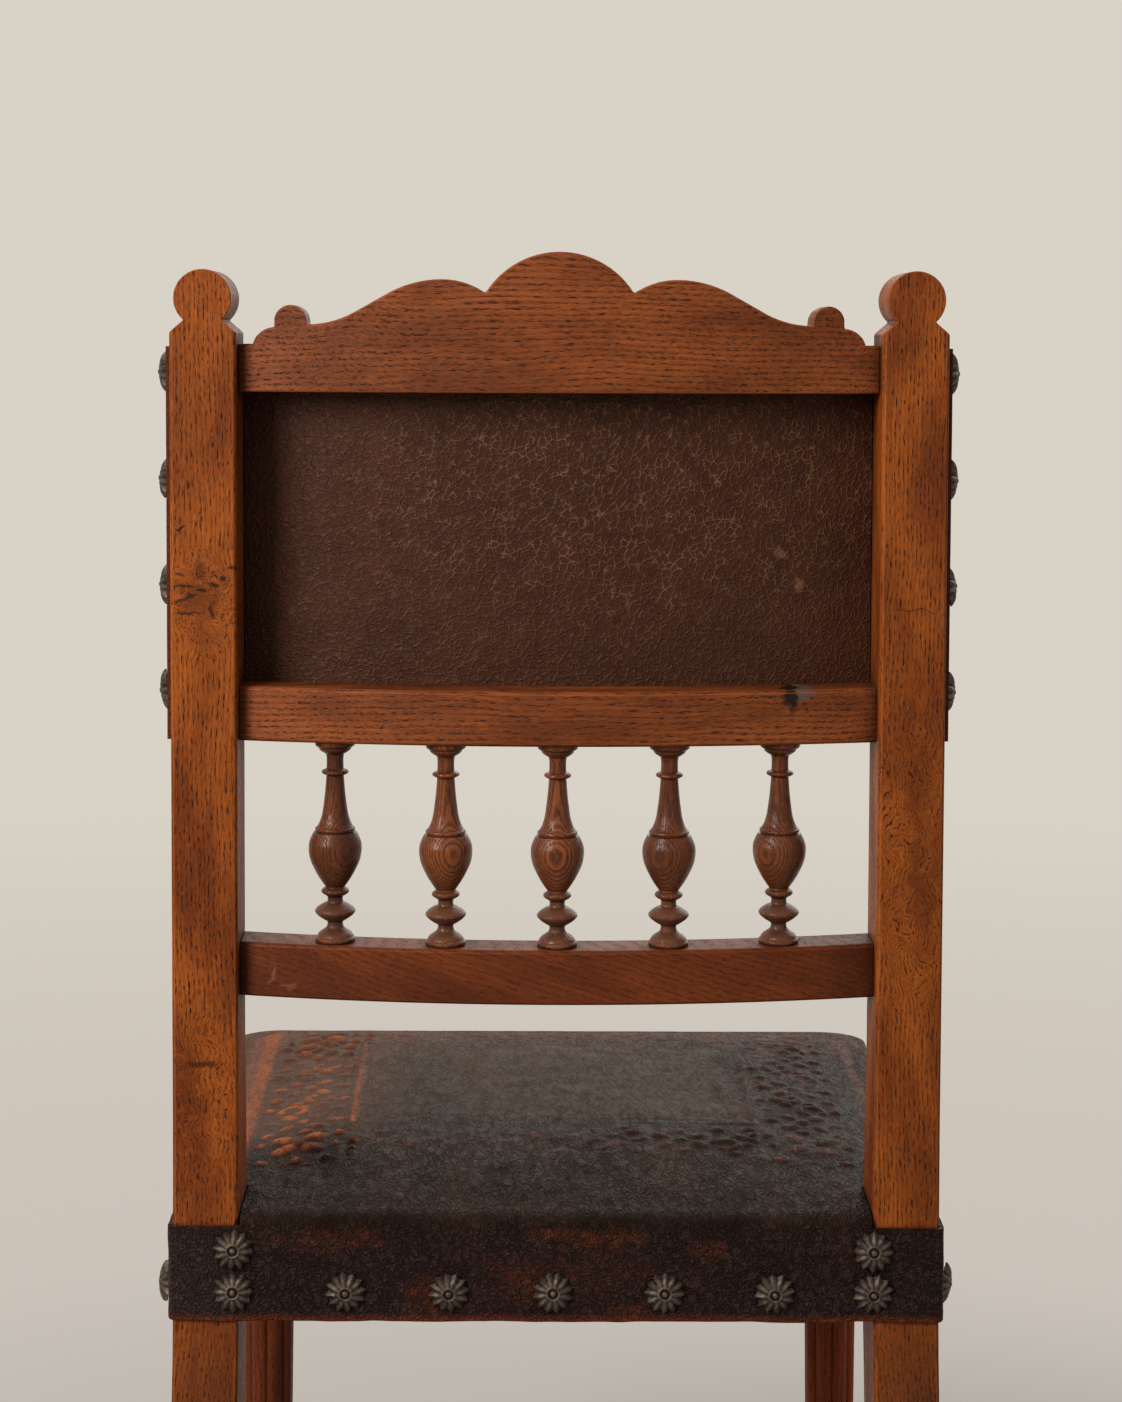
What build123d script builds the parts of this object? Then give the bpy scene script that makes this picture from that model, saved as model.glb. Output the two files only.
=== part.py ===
from build123d import *
import os
from math import cos, pi, radians, sin, sqrt

# An oak chair with a nailed leather seat and a padded leather back.
# +Y is the way the sitter faces, +X is to the right of someone standing behind the chair, Z = 0 is the floor.
# All sizes are millimetres.

# Overall widths and depths
back_width = 420.0
seat_front_width = 436.0
seat_depth = 410.0

# Rear legs: one sawn piece from the foot to the disc finial
stile_width = 36.0
leg_depth = 46.0
stile_depth = 40.0
foot_depth = 34.0
leg_kick = 55.0
kick_start_below_seat = 14.0
back_rake = 2.0
bend_above_seat = 56.0
leg_sweep_radius = 150.0
edge_ease = 1.5

# Heights
seat_frame_bottom = 402.0
seat_rail_height = 42.0
lower_rail_above_seat = 130.0
spindle_length = 111.0
panel_height = 160.5
back_rail_height = 30.0

# Bowed back rails
back_bow = 20.0
back_rail_thickness = 27.0

# Crest outline, heights above the crest rail's lower edge and distances from the middle of the chair
crest_end_height = 26.0
crest_height = 75.5
notch_height = 53.5
notch_x = 39.7
hump_height = 60.8
hump_x = 63.0
hump_radius = 60.0
ogee_slope = 27.0
cove_radius = 54.0
valley_height = 36.5
button_x = 145.0
button_radius = 8.8
button_height = 38.2
quarter_round_height = 35.0
shoulder_x = 165.6

# Disc finials on the rear legs, heights above the crest rail's lower edge
finial_radius = 15.6
finial_height = 50.4
finial_neck = 20.6
finial_shoulder_height = 32.0

# Turned spindles
turning_facets = 14
spindle_count = 5
spindle_end_room = 52.2
spindle_tenon_radius = 3.6
spindle_tenon_length = 11.0

# Seat frame
seat_rail_thickness = 24.0
corner_block_leg = 34.0
corner_block_height = 30.0
corner_block_drop = 3.0

# Front legs
front_block = 42.0
front_corner_radius = 16.0
front_block_drop = 26.0
shaft_top_radius = 18.6
shaft_foot_radius = 17.0
neck_height = 32.0
reed_count = 8
reed_depth = 2.4
stretcher_block = 38.0
stretcher_block_height = 58.0
ring_height = 24.0

# Stretchers
stretcher_height = 132.0
stretcher_width = 20.0
stretcher_depth = 26.0
cross_radius = 9.5
cross_swell = 15.0
cross_bulb = 42.0
cross_tenon_radius = 6.0
cross_tenon_length = 12.0

# Mortise and tenon joints
tenon_thickness = 10.0
tenon_length = 20.0
tenon_shoulder = 5.0
joint_room = 0.15

# Upholstery
leather = 2.5
hem_drop = 2.0
band_above_frame = 5.5
seat_roll = 7.0
seat_crown = 7.0
crown_inset = 150.0
corner_facets = 4
stile_slit = 1.0
webbing_thickness = 1.5
webbing_width = 50.0
webbing_end = 18.0
webbing_margin = 5.0
webbing_pitch = 100.0
strap_count = 3
hessian_thickness = 1.0
soft_gap = 0.3
lining_thickness = 1.5
back_swell = 13.0
back_edge_swell = 1.5
bulge_facets = 8
bow_facets = 8
back_cover_margin = 1.5
back_rim = 22.0
back_return = 34.0

# Daisy-headed nails
nail_radius = 10.7
nail_height = 5.0
nail_crown_radius = 5.6
nail_facets = 8
nail_shank = 2.2
nail_length = 9.0
nail_room = 0.1
nail_above_hem = 14.0
nail_pair_rise = 23.0
nail_pair_inset = 2.5
seat_side_nails = 7
seat_front_nails = 7
seat_rear_nails = 5
back_side_nails = 4
back_row_nails = 6
rear_nail_end_room = 56.0
front_nail_end_room = 41.0
back_side_end_room = 19.75
back_side_rise = 6.0
back_row_end_room = 26.5
first_side_nail = 20.0
back_nail_inset = 23.0

# Places worked out from the sizes above
os.makedirs("parts", exist_ok=True)
sides = ((-1, "left"), (1, "right"))
rear_y = (leg_kick - seat_depth - leather - nail_height) / 2
front_y = rear_y + seat_depth
half_span = back_width / 2 - stile_width
rear_leg_x = back_width / 2 - stile_width / 2
frame_top = seat_frame_bottom + seat_rail_height
frame_mid = seat_frame_bottom + seat_rail_height / 2
hem_z = seat_frame_bottom - hem_drop
band_top = frame_top + band_above_frame
kick_z = seat_frame_bottom - kick_start_below_seat
bend_z = frame_top + bend_above_seat
side_slope = (seat_front_width - back_width) / 2 / seat_depth

# Heights along the leaning back, measured from the bend in the rear legs
lower_rail_low = lower_rail_above_seat - bend_above_seat
lower_rail_high = lower_rail_low + back_rail_height
middle_rail_low = lower_rail_high + spindle_length
middle_rail_high = middle_rail_low + back_rail_height
crest_low = middle_rail_high + panel_height
finial_top = crest_low + finial_height + finial_radius
cover_low = middle_rail_low + back_cover_margin
cover_high = crest_low + crest_end_height - back_cover_margin

# The bow of the back: one upright axis in front of the chair, shared by the rails, the lining and the pad
bow_radius = (half_span**2 + back_bow**2) / (2 * back_bow)
cover_offset = back_rail_thickness + lining_thickness + 2 * soft_gap
bow_centre = stile_depth + sqrt((bow_radius - cover_offset) ** 2 - half_span**2)
rail_end_depth = bow_centre - sqrt(bow_radius**2 - half_span**2) + back_rail_thickness / 2

# Leaning directions of the back
rake = radians(back_rake)
up = Vector(0, -sin(rake), cos(rake))
forward = Vector(0, cos(rake), sin(rake))
back_origin = Vector(0, rear_y, bend_z)


def back_point(x, depth, height):
    """A point of the leaning back: across, forward from the rear faces of the legs, and up from the bend."""
    return back_origin + Vector(x, 0, 0) + forward * depth + up * height


def back_plan(height):
    """Plane across the back, for outlines seen from above."""
    return Plane(back_point(0, 0, height), x_dir=(1, 0, 0), z_dir=up)


def back_elevation(x, depth, height):
    """Plane along the back, for outlines seen from behind."""
    return Plane(back_point(x, depth, height), x_dir=(1, 0, 0), z_dir=-forward)


def bow_depth(x, offset):
    """Depth of the bowed surface that lies the given offset in front of the rails' rear faces."""
    return bow_centre - sqrt((bow_radius - offset) ** 2 - x**2)


def bow_band(offset, thickness, half_width):
    """Outline from above of a bowed strip."""
    with BuildLine() as outline:
        rear = ThreePointArc(
            (-half_width, bow_depth(half_width, offset)),
            (0, bow_depth(0, offset)),
            (half_width, bow_depth(half_width, offset)),
        )
        front = ThreePointArc(
            (half_width, bow_depth(half_width, offset + thickness)),
            (0, bow_depth(0, offset + thickness)),
            (-half_width, bow_depth(half_width, offset + thickness)),
        )
        Line(rear @ 1, front @ 0)
        Line(front @ 1, rear @ 0)
    make_face(outline.line)


def side_x(y):
    """Outer line of the seat frame, which widens to the front."""
    return back_width / 2 + (y - rear_y) * side_slope


def skin_x(y, out):
    """A line the given distance outside the seat frame's outer line, square to it."""
    return side_x(y) + out * sqrt(1 + side_slope**2)


def inner_x(y):
    """Inner face of a side seat rail."""
    return side_x(y) - seat_rail_thickness


def leg_front_y(z):
    """Straight front face of a rear leg below the seat."""
    foot_front = rear_y - leg_kick + foot_depth
    return foot_front + (rear_y + leg_depth - foot_front) * z / kick_z


front_leg_x = side_x(front_y - front_block) - front_block / 2
front_leg_y = front_y - front_block / 2
block_rear_y = front_y - front_block
block_inner_x = front_leg_x - front_block / 2
stretcher_x = (rear_leg_x + front_leg_x) / 2
stretcher_front_y = front_leg_y - stretcher_block / 2
stretcher_rear_y = leg_front_y(stretcher_height)
cross_y = (stretcher_rear_y + stretcher_front_y) / 2
cross_half = stretcher_x - stretcher_width / 2


def tenon(plane, height, length=tenon_length):
    """A tenon standing on the shoulder plane."""
    with BuildSketch(plane) as end:
        Rectangle(tenon_thickness, height)
    extrude(end.sketch, amount=length)


def mortise(plane, height, length=tenon_length):
    """The mortise for the same tenon, with a little room all round."""
    with BuildSketch(plane) as mouth:
        Rectangle(tenon_thickness + 2 * joint_room, height + 2 * joint_room)
    extrude(mouth.sketch, amount=length + joint_room, mode=Mode.SUBTRACT)


def back_rail_plane(side, low, height):
    """Shoulder of a back rail's tenon, on the inner face of a rear leg."""
    origin = back_point(side * half_span, rail_end_depth, low + height / 2)
    return Plane(origin, x_dir=forward, z_dir=(side, 0, 0))


def cross_rail_plane(side, x, y):
    """Shoulder of a front or rear seat rail's tenon."""
    return Plane((side * x, y, frame_mid), x_dir=(0, 1, 0), z_dir=(side, 0, 0))


def side_rail_plane(side, y, toward):
    """Shoulder of a side seat rail's tenon, pointing forward or back."""
    x = side * (side_x(y) - seat_rail_thickness / 2)
    return Plane((x, y, frame_mid), x_dir=(1, 0, 0), z_dir=(0, toward, 0))


def stretcher_plane(side, y, toward):
    """Shoulder of a side stretcher's tenon, pointing forward or back."""
    return Plane((side * stretcher_x, y, stretcher_height), x_dir=(1, 0, 0), z_dir=(0, toward, 0))


rail_tenon = back_rail_height - 2 * tenon_shoulder
crest_tenon = crest_end_height - 2 * tenon_shoulder
seat_tenon = seat_rail_height - 2 * tenon_shoulder
stretcher_tenon = stretcher_depth - 2 * tenon_shoulder
rear_rail_y = rear_y + seat_rail_thickness / 2
front_rail_y = front_y - seat_rail_thickness / 2


# Where the nails stand: planes on the leather, facing outward
def even_row(count, length):
    """Evenly spaced places about the middle of a row of the given length."""
    return [length * (i / (count - 1) - 0.5) for i in range(count)]


nail_z = hem_z + nail_above_hem
rear_skin = rear_y - leather
rear_row = even_row(seat_rear_nails, 2 * (half_span - rear_nail_end_room))
rail_nails = [Plane((x, rear_skin, nail_z), z_dir=(0, -1, 0)) for x in rear_row]
pair_nails = {
    side: [
        Plane((side * (half_span + nail_pair_inset), rear_skin, nail_z + rise), z_dir=(0, -1, 0))
        for rise in (0, nail_pair_rise)
    ]
    for side, hand in sides
}
front_row = even_row(seat_front_nails, seat_front_width - 2 * front_nail_end_room)
front_nails = [Plane((x, front_y + leather, nail_z), z_dir=(0, 1, 0)) for x in front_row]
side_pitch = (seat_depth - 2 * first_side_nail) / (seat_side_nails - 1)
side_nail_y = [rear_y + first_side_nail + i * side_pitch for i in range(seat_side_nails)]
side_nails = {
    side: [
        Plane((side * skin_x(y, leather), y, nail_z), z_dir=(side, -side_slope, 0)) for y in side_nail_y
    ]
    for side, hand in sides
}
back_mid = (cover_low + cover_high) / 2 + back_side_rise
back_side_planes = {
    side: [
        Plane(
            back_point(side * (back_width / 2 + leather), stile_depth - back_nail_inset, back_mid + rise),
            x_dir=forward,
            z_dir=(side, 0, 0),
        )
        for rise in even_row(back_side_nails, cover_high - cover_low - 2 * back_side_end_room)
    ]
    for side, hand in sides
}


def bow_nail(x, height):
    """A nail on the bowed front of the back cover, square to the bow."""
    facet_rise = (half_span / bow_facets) ** 2 / (2 * bow_radius)
    offset = cover_offset + leather + facet_rise + nail_radius**2 / bow_radius
    toward = Vector(-x, 0, 0) + forward * (bow_centre - bow_depth(x, offset))
    return Plane(back_point(x, bow_depth(x, offset), height), x_dir=up, z_dir=toward)


back_row = even_row(back_row_nails, 2 * (half_span - back_row_end_room))
top_nails = [bow_nail(x, cover_high - back_rim / 2) for x in back_row]
bottom_nails = [bow_nail(x, cover_low + back_rim / 2) for x in back_row]


def nail_holes(planes):
    """Square holes for the shanks of the nails that stand on the planes."""
    with BuildSketch(*planes) as holes:
        Rectangle(nail_shank + 2 * nail_room, nail_shank + 2 * nail_room)
    extrude(holes.sketch, amount=-(nail_length + nail_room), mode=Mode.SUBTRACT)


def faceted(rings):
    """Closed solid of flat facets through a stack of rings with equally many points."""
    count = len(rings[0])
    faces = [Face(Wire.make_polygon(ring)) for ring in (rings[0], rings[-1])]
    for low, high in zip(rings, rings[1:]):
        for i in range(count):
            j = (i + 1) % count
            faces.append(Face(Wire.make_polygon([low[i], low[j], high[i]])))
            faces.append(Face(Wire.make_polygon([low[j], high[j], high[i]])))
    return Solid(Shell(faces))


def turned(plane, profile, count=turning_facets):
    """A turning that stands on the plane, from pairs of radius and height, in flat facets."""
    steps = [2 * pi * i / count for i in range(count)]
    return faceted(
        [
            [plane.from_local_coords((radius * cos(a), radius * sin(a), height)) for a in steps]
            for radius, height in profile
        ]
    )


def save(builder, node):
    """Label a finished piece and write it."""
    builder.part.label = node
    export_step(builder.part, f"parts/{node}.step")


# Rear legs
finial_neck_drop = sqrt(finial_radius**2 - (finial_neck / 2) ** 2)
rear_path = [
    (rear_y - leg_kick, 0),
    (rear_y, kick_z),
    (rear_y, bend_z),
    (rear_y - finial_top * sin(rake), bend_z + finial_top * cos(rake)),
]
front_path = [
    (rear_path[3][0] + stile_depth * cos(rake), rear_path[3][1] + stile_depth * sin(rake)),
    (rear_y + stile_depth - lower_rail_low * sin(rake), bend_z + lower_rail_low / 2),
    (rear_y + leg_depth, band_top + seat_crown),
    (rear_y + leg_depth, kick_z),
    (rear_y - leg_kick + foot_depth, 0),
]
for side, hand in sides:
    with BuildPart() as rear_leg:
        with BuildSketch(Plane.YZ.offset(side * rear_leg_x - stile_width / 2)):
            with BuildLine():
                rear_edge = FilletPolyline(*rear_path, radius=leg_sweep_radius)
                front_edge = FilletPolyline(*front_path, radius=leg_sweep_radius)
                Line(rear_edge @ 1, front_edge @ 0)
                Line(front_edge @ 1, rear_edge @ 0)
            make_face()
        extrude(amount=stile_width)
        outlines = rear_leg.faces().filter_by(Axis.X).edges()
        chamfer(outlines, edge_ease)
        with BuildSketch(back_elevation(side * rear_leg_x, stile_depth / 2, crest_low)):
            with Locations((0, finial_shoulder_height)):
                Rectangle(2 * stile_width, 2 * stile_width, align=(Align.CENTER, Align.MIN))
            with BuildLine():
                Polyline(
                    (-stile_width / 2, finial_shoulder_height),
                    (stile_width / 2, finial_shoulder_height),
                    (finial_neck / 2, finial_height - finial_neck_drop),
                    (-finial_neck / 2, finial_height - finial_neck_drop),
                    close=True,
                )
            make_face(mode=Mode.SUBTRACT)
            with Locations((0, finial_height)):
                Circle(finial_radius, mode=Mode.SUBTRACT)
        extrude(amount=stile_depth, both=True, mode=Mode.SUBTRACT)
        mortise(back_rail_plane(side, lower_rail_low, back_rail_height), rail_tenon)
        mortise(back_rail_plane(side, middle_rail_low, back_rail_height), rail_tenon)
        mortise(back_rail_plane(side, crest_low, crest_end_height), crest_tenon)
        mortise(cross_rail_plane(side, half_span, rear_rail_y), seat_tenon)
        mortise(side_rail_plane(side, rear_y + leg_depth, -1), seat_tenon)
        mortise(stretcher_plane(side, stretcher_rear_y, -1), stretcher_tenon)
        nail_holes(pair_nails[side] + side_nails[side] + back_side_planes[side])
    save(rear_leg, f"rear_leg_{hand}")


# Bowed rails of the back
def bowed_rail(low, height):
    """Bowed bar between the rear legs, with its long edges eased."""
    with BuildSketch(back_plan(low)) as plan:
        bow_band(0, back_rail_thickness, half_span)
    bar = extrude(plan.sketch, amount=height)
    chamfer(bar.edges().filter_by(GeomType.CIRCLE), edge_ease)


spindle_row = even_row(spindle_count, 2 * (half_span - spindle_end_room))
spindle_places = [(x, bow_depth(x, back_rail_thickness / 2)) for x in spindle_row]


def spindle_sockets(plane):
    """Round sockets for the spindles' tenons, running into the rail along the plane's normal."""
    with BuildSketch(plane) as sockets:
        with Locations(*spindle_places):
            Circle(spindle_tenon_radius + joint_room)
    extrude(sockets.sketch, amount=spindle_tenon_length + joint_room, mode=Mode.SUBTRACT)


with BuildPart() as lower_rail:
    bowed_rail(lower_rail_low, back_rail_height)
    for side, hand in sides:
        tenon(back_rail_plane(side, lower_rail_low, back_rail_height), rail_tenon)
    spindle_sockets(back_plan(lower_rail_high - spindle_tenon_length - joint_room))
save(lower_rail, "lower_back_rail")

with BuildPart() as middle_rail:
    bowed_rail(middle_rail_low, back_rail_height)
    for side, hand in sides:
        tenon(back_rail_plane(side, middle_rail_low, back_rail_height), rail_tenon)
    spindle_sockets(back_plan(middle_rail_low))
    nail_holes(bottom_nails)
save(middle_rail, "middle_back_rail")

with BuildPart() as crest_rail:
    with BuildSketch(back_elevation(0, 0, crest_low)):
        with BuildLine():
            arch = RadiusArc(
                (0, crest_height),
                (notch_x, notch_height),
                (notch_x**2 + (crest_height - notch_height) ** 2) / (2 * (crest_height - notch_height)),
            )
            hump = TangentArc((hump_x, hump_height), (notch_x, notch_height), tangent=(-1, 0))
            ogee_top = JernArc((hump_x, hump_height), (1, 0), hump_radius, -ogee_slope)
            valley = (button_x - button_radius, valley_height)
            ogee_foot = JernArc(valley, (-1, 0), cove_radius, -ogee_slope)
            Line(ogee_top @ 1, ogee_foot @ 1)
            button = ThreePointArc(
                (button_x - button_radius, button_height),
                (button_x, button_height + button_radius),
                (button_x + button_radius, button_height),
            )
            Line(valley, button @ 0)
            quarter_round = TangentArc(
                (button_x + button_radius, quarter_round_height),
                (shoulder_x, crest_end_height),
                tangent=(1, 0),
            )
            Line(button @ 1, quarter_round @ 0)
            Polyline(
                quarter_round @ 1,
                (half_span, crest_end_height),
                (half_span, 0),
                (0, 0),
                arch @ 0,
            )
        make_face()
        mirror(about=Plane.YZ)
    extrude(amount=stile_depth, both=True)
    with BuildSketch(back_plan(crest_low)):
        bow_band(0, back_rail_thickness, half_span)
    extrude(amount=crest_height, mode=Mode.INTERSECT)
    for side, hand in sides:
        tenon(back_rail_plane(side, crest_low, crest_end_height), crest_tenon)
    nail_holes(top_nails)
save(crest_rail, "crest_rail")

# Turned spindles between the lower and middle rails: radius and height of each turning, from the foot up
spindle_foot = [
    (10.9, 0),
    (10.9, 3.4),
    (5.2, 8.6),
    (4.5, 12.6),
    (11.8, 16.4),
    (11.8, 19.0),
    (4.5, 23.4),
    (4.5, 26.0),
    (8.3, 27.4),
    (8.3, 30.4),
    (6.0, 32.0),
]
spindle_belly = [(9.6, 39.0), (13.2, 45.5), (14.4, 51.5), (13.4, 57.5), (11.4, 61.0)]
spindle_lip = [(10.9, 62.0), (10.9, 64.4), (8.6, 65.6), (6.6, 75.0), (5.4, 85.0)]
# The same from the head down, as heights below the middle rail
spindle_head = [
    (5.0, 17.6),
    (7.7, 16.6),
    (7.7, 13.6),
    (5.0, 12.4),
    (4.6, 7.4),
    (6.4, 5.6),
    (10.4, 1.4),
    (10.4, 0),
]
spindle_turning = [
    (spindle_tenon_radius, -spindle_tenon_length),
    (spindle_tenon_radius, 0),
    *spindle_foot,
    *spindle_belly,
    *spindle_lip,
    *[(radius, spindle_length - drop) for radius, drop in spindle_head],
    (spindle_tenon_radius, spindle_length),
    (spindle_tenon_radius, spindle_length + spindle_tenon_length),
]
for number, (x, depth) in enumerate(spindle_places, start=1):
    foot = Plane(back_point(x, depth, lower_rail_high), x_dir=(1, 0, 0), z_dir=up)
    with BuildPart() as spindle:
        add(turned(foot, spindle_turning))
    save(spindle, f"back_spindle_{number}")

# Seat rails
with BuildPart() as rear_rail:
    with BuildSketch(Plane.XY.offset(seat_frame_bottom)):
        with Locations((0, rear_rail_y)):
            Rectangle(2 * half_span, seat_rail_thickness)
    extrude(amount=seat_rail_height)
    for side, hand in sides:
        tenon(cross_rail_plane(side, half_span, rear_rail_y), seat_tenon)
    nail_holes(rail_nails + pair_nails[-1] + pair_nails[1])
save(rear_rail, "rear_seat_rail")

with BuildPart() as front_rail:
    with BuildSketch(Plane.XY.offset(seat_frame_bottom)):
        with Locations((0, front_rail_y)):
            Rectangle(2 * block_inner_x, seat_rail_thickness)
    extrude(amount=seat_rail_height)
    for side, hand in sides:
        tenon(cross_rail_plane(side, block_inner_x, front_rail_y), seat_tenon)
    nail_holes(front_nails)
save(front_rail, "front_seat_rail")

leg_front = rear_y + leg_depth
for side, hand in sides:
    with BuildPart() as side_rail:
        with BuildSketch(Plane.XY.offset(seat_frame_bottom)):
            with BuildLine():
                Polyline(
                    (side * side_x(leg_front), leg_front),
                    (side * side_x(block_rear_y), block_rear_y),
                    (side * inner_x(block_rear_y), block_rear_y),
                    (side * inner_x(leg_front), leg_front),
                    close=True,
                )
            make_face()
        extrude(amount=seat_rail_height)
        tenon(side_rail_plane(side, leg_front, -1), seat_tenon)
        tenon(side_rail_plane(side, block_rear_y, 1), seat_tenon)
        nail_holes(side_nails[side])
    save(side_rail, f"{hand}_seat_rail")

# Corner blocks, notched round the legs
for side, hand in sides:
    corners = {
        "rear": (rear_y + seat_rail_thickness, half_span, leg_front, 1),
        "front": (front_y - seat_rail_thickness, block_inner_x, block_rear_y, -1),
    }
    for end, (rail_y, leg_x, leg_y, toward) in corners.items():
        tip_y = leg_y + toward * corner_block_leg
        with BuildPart() as corner_block:
            with BuildSketch(Plane.XY.offset(frame_top - corner_block_drop - corner_block_height)):
                with BuildLine():
                    Polyline(
                        (side * (leg_x - corner_block_leg), rail_y),
                        (side * leg_x, rail_y),
                        (side * leg_x, leg_y),
                        (side * inner_x(leg_y), leg_y),
                        (side * inner_x(tip_y), tip_y),
                        close=True,
                    )
                make_face()
            extrude(amount=corner_block_height)
        save(corner_block, f"corner_block_{end}_{hand}")

# Front legs: square seat block, turned neck, reeded shaft, square stretcher block and turned foot
block_low = seat_frame_bottom - front_block_drop
shaft_high = block_low - neck_height
lower_block_high = stretcher_height + stretcher_block_height / 2
lower_block_low = stretcher_height - stretcher_block_height / 2
shaft_low = lower_block_high + ring_height


def reed_ring(plane, radius, height):
    """Ring of convex reeds round the shaft, four facets to a reed."""
    ring = []
    for i in range(4 * reed_count):
        angle = 2 * pi * i / (4 * reed_count)
        reach = radius - reed_depth * (0, 0.25, 1, 0.25)[i % 4]
        ring.append(plane.from_local_coords((reach * cos(angle), reach * sin(angle), height)))
    return ring


foot_turning = [
    (13.5, 0),
    (15.0, 2.0),
    (15.0, 7.0),
    (11.5, 14.0),
    (16.0, 27.0),
    (18.0, 42.0),
    (16.0, 60.0),
    (13.0, 74.0),
]
leg_core = shaft_foot_radius - reed_depth - 1
collar = shaft_top_radius + 1.4
leg_turning = [
    *foot_turning,
    (13.0, lower_block_low - 18),
    (17.5, lower_block_low - 14),
    (17.5, lower_block_low - 8),
    (leg_core, lower_block_low - 4),
    (leg_core, lower_block_high + 4),
    (17.5, lower_block_high + 7),
    (17.5, lower_block_high + 12),
    (14.0, lower_block_high + 15),
    (14.0, shaft_low - 3),
    (shaft_foot_radius, shaft_low),
    (leg_core, shaft_low + 2),
    (leg_core, shaft_high - 2),
    (shaft_top_radius, shaft_high),
    (collar, shaft_high + 2.5),
    (collar, shaft_high + 7),
    (15.0, shaft_high + 10),
    (15.0, block_low - 12),
    (collar, block_low - 7),
    (collar, block_low + 1),
]
for side, hand in sides:
    centre = Vector(side * front_leg_x, front_leg_y, 0)
    with BuildPart() as front_leg:
        with BuildSketch(Plane(centre + Vector(0, 0, block_low))):
            Rectangle(front_block, front_block)
            outer = vertices().sort_by(Axis.Y)[-2:].sort_by(Axis.X)
            fillet(outer[-1 if side > 0 else 0], front_corner_radius + leather)
        extrude(amount=frame_top - block_low)
        with BuildSketch(Plane(centre + Vector(0, 0, lower_block_low))):
            Rectangle(stretcher_block, stretcher_block)
            chamfer(vertices(), edge_ease)
        extrude(amount=stretcher_block_height)
        floor = Plane(centre)
        shaft_foot = reed_ring(floor, shaft_foot_radius, shaft_low)
        shaft_top = reed_ring(floor, shaft_top_radius, shaft_high)
        add(faceted([shaft_foot, shaft_top]))
        add(turned(floor, leg_turning))
        mortise(side_rail_plane(side, block_rear_y, 1), seat_tenon)
        mortise(cross_rail_plane(side, block_inner_x, front_rail_y), seat_tenon)
        mortise(stretcher_plane(side, stretcher_front_y, 1), stretcher_tenon)
        nail_holes(front_nails + side_nails[side])
    save(front_leg, f"front_leg_{hand}")

# Low stretchers
for side, hand in sides:
    low, high = stretcher_height - stretcher_depth / 2, stretcher_height + stretcher_depth / 2
    with BuildPart() as stretcher:
        with BuildSketch(Plane.YZ.offset(side * stretcher_x - stretcher_width / 2)):
            with BuildLine():
                Polyline(
                    (leg_front_y(low), low),
                    (stretcher_front_y, low),
                    (stretcher_front_y, high),
                    (leg_front_y(high), high),
                    close=True,
                )
            make_face()
        extrude(amount=stretcher_width)
        long_edges = stretcher.edges().filter_by(Axis.Y)
        chamfer(long_edges, edge_ease)
        tenon(stretcher_plane(side, stretcher_front_y, 1), stretcher_tenon)
        tenon(stretcher_plane(side, stretcher_rear_y, -1), stretcher_tenon)
        inner_face = Plane((side * cross_half, cross_y, stretcher_height), z_dir=(side, 0, 0))
        with BuildSketch(inner_face):
            Circle(cross_tenon_radius + joint_room)
        extrude(amount=cross_tenon_length + joint_room, mode=Mode.SUBTRACT)
    save(stretcher, f"{hand}_stretcher")

cross_turning = [
    (cross_swell, 0),
    (cross_swell - 1.0, cross_bulb / 3),
    (cross_swell - 3.5, 2 * cross_bulb / 3),
    (cross_radius - 1.5, cross_bulb),
    (cross_radius + 2.5, cross_bulb + 1.5),
    (cross_radius + 2.5, cross_bulb + 6.0),
    (cross_radius - 1.5, cross_bulb + 8.0),
    (cross_radius + 1.5, cross_half - 30),
    (cross_radius + 4.0, cross_half - 27),
    (cross_radius + 4.0, cross_half - 22),
    (cross_radius, cross_half - 19),
    (cross_radius, cross_half),
    (cross_tenon_radius, cross_half),
    (cross_tenon_radius, cross_half + cross_tenon_length),
]
with BuildPart() as cross_stretcher:
    middle = Plane((0, cross_y, stretcher_height), x_dir=(0, 1, 0), z_dir=(1, 0, 0))
    mirrored = [(radius, -along) for radius, along in reversed(cross_turning[1:])]
    add(turned(middle, mirrored + cross_turning))
save(cross_stretcher, "cross_stretcher")


# Seat webbing: straps with doubled ends, the cross straps lying on the long ones
def strap(size, place):
    """A flat strap, given by its size and the middle of its underside."""
    with Locations(place):
        Box(*size, align=(Align.CENTER, Align.CENTER, Align.MIN))


with BuildPart() as long_straps:
    length = seat_depth - 2 * webbing_margin
    for x in even_row(strap_count, webbing_pitch * (strap_count - 1)):
        strap((webbing_width, length, webbing_thickness), (x, (rear_y + front_y) / 2, frame_top))
        for toward in (-1, 1):
            y = (rear_y + front_y) / 2 + toward * (length - webbing_end) / 2
            strap((webbing_width, webbing_end, 2 * webbing_thickness), (x, y, frame_top))
save(long_straps, "webbing_front_to_back")

with BuildPart() as cross_straps:
    strap_pitch = (block_rear_y - leg_front) / strap_count
    for i in range(strap_count):
        y = leg_front + (i + 0.5) * strap_pitch
        length = 2 * (side_x(y - webbing_width / 2) - webbing_margin)
        strap((length, webbing_width, webbing_thickness), (0, y, frame_top + webbing_thickness))
        for toward in (-1, 1):
            x = toward * (length - webbing_end) / 2
            strap((webbing_end, webbing_width, 2 * webbing_thickness), (x, y, frame_top))
save(cross_straps, "webbing_side_to_side")


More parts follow.
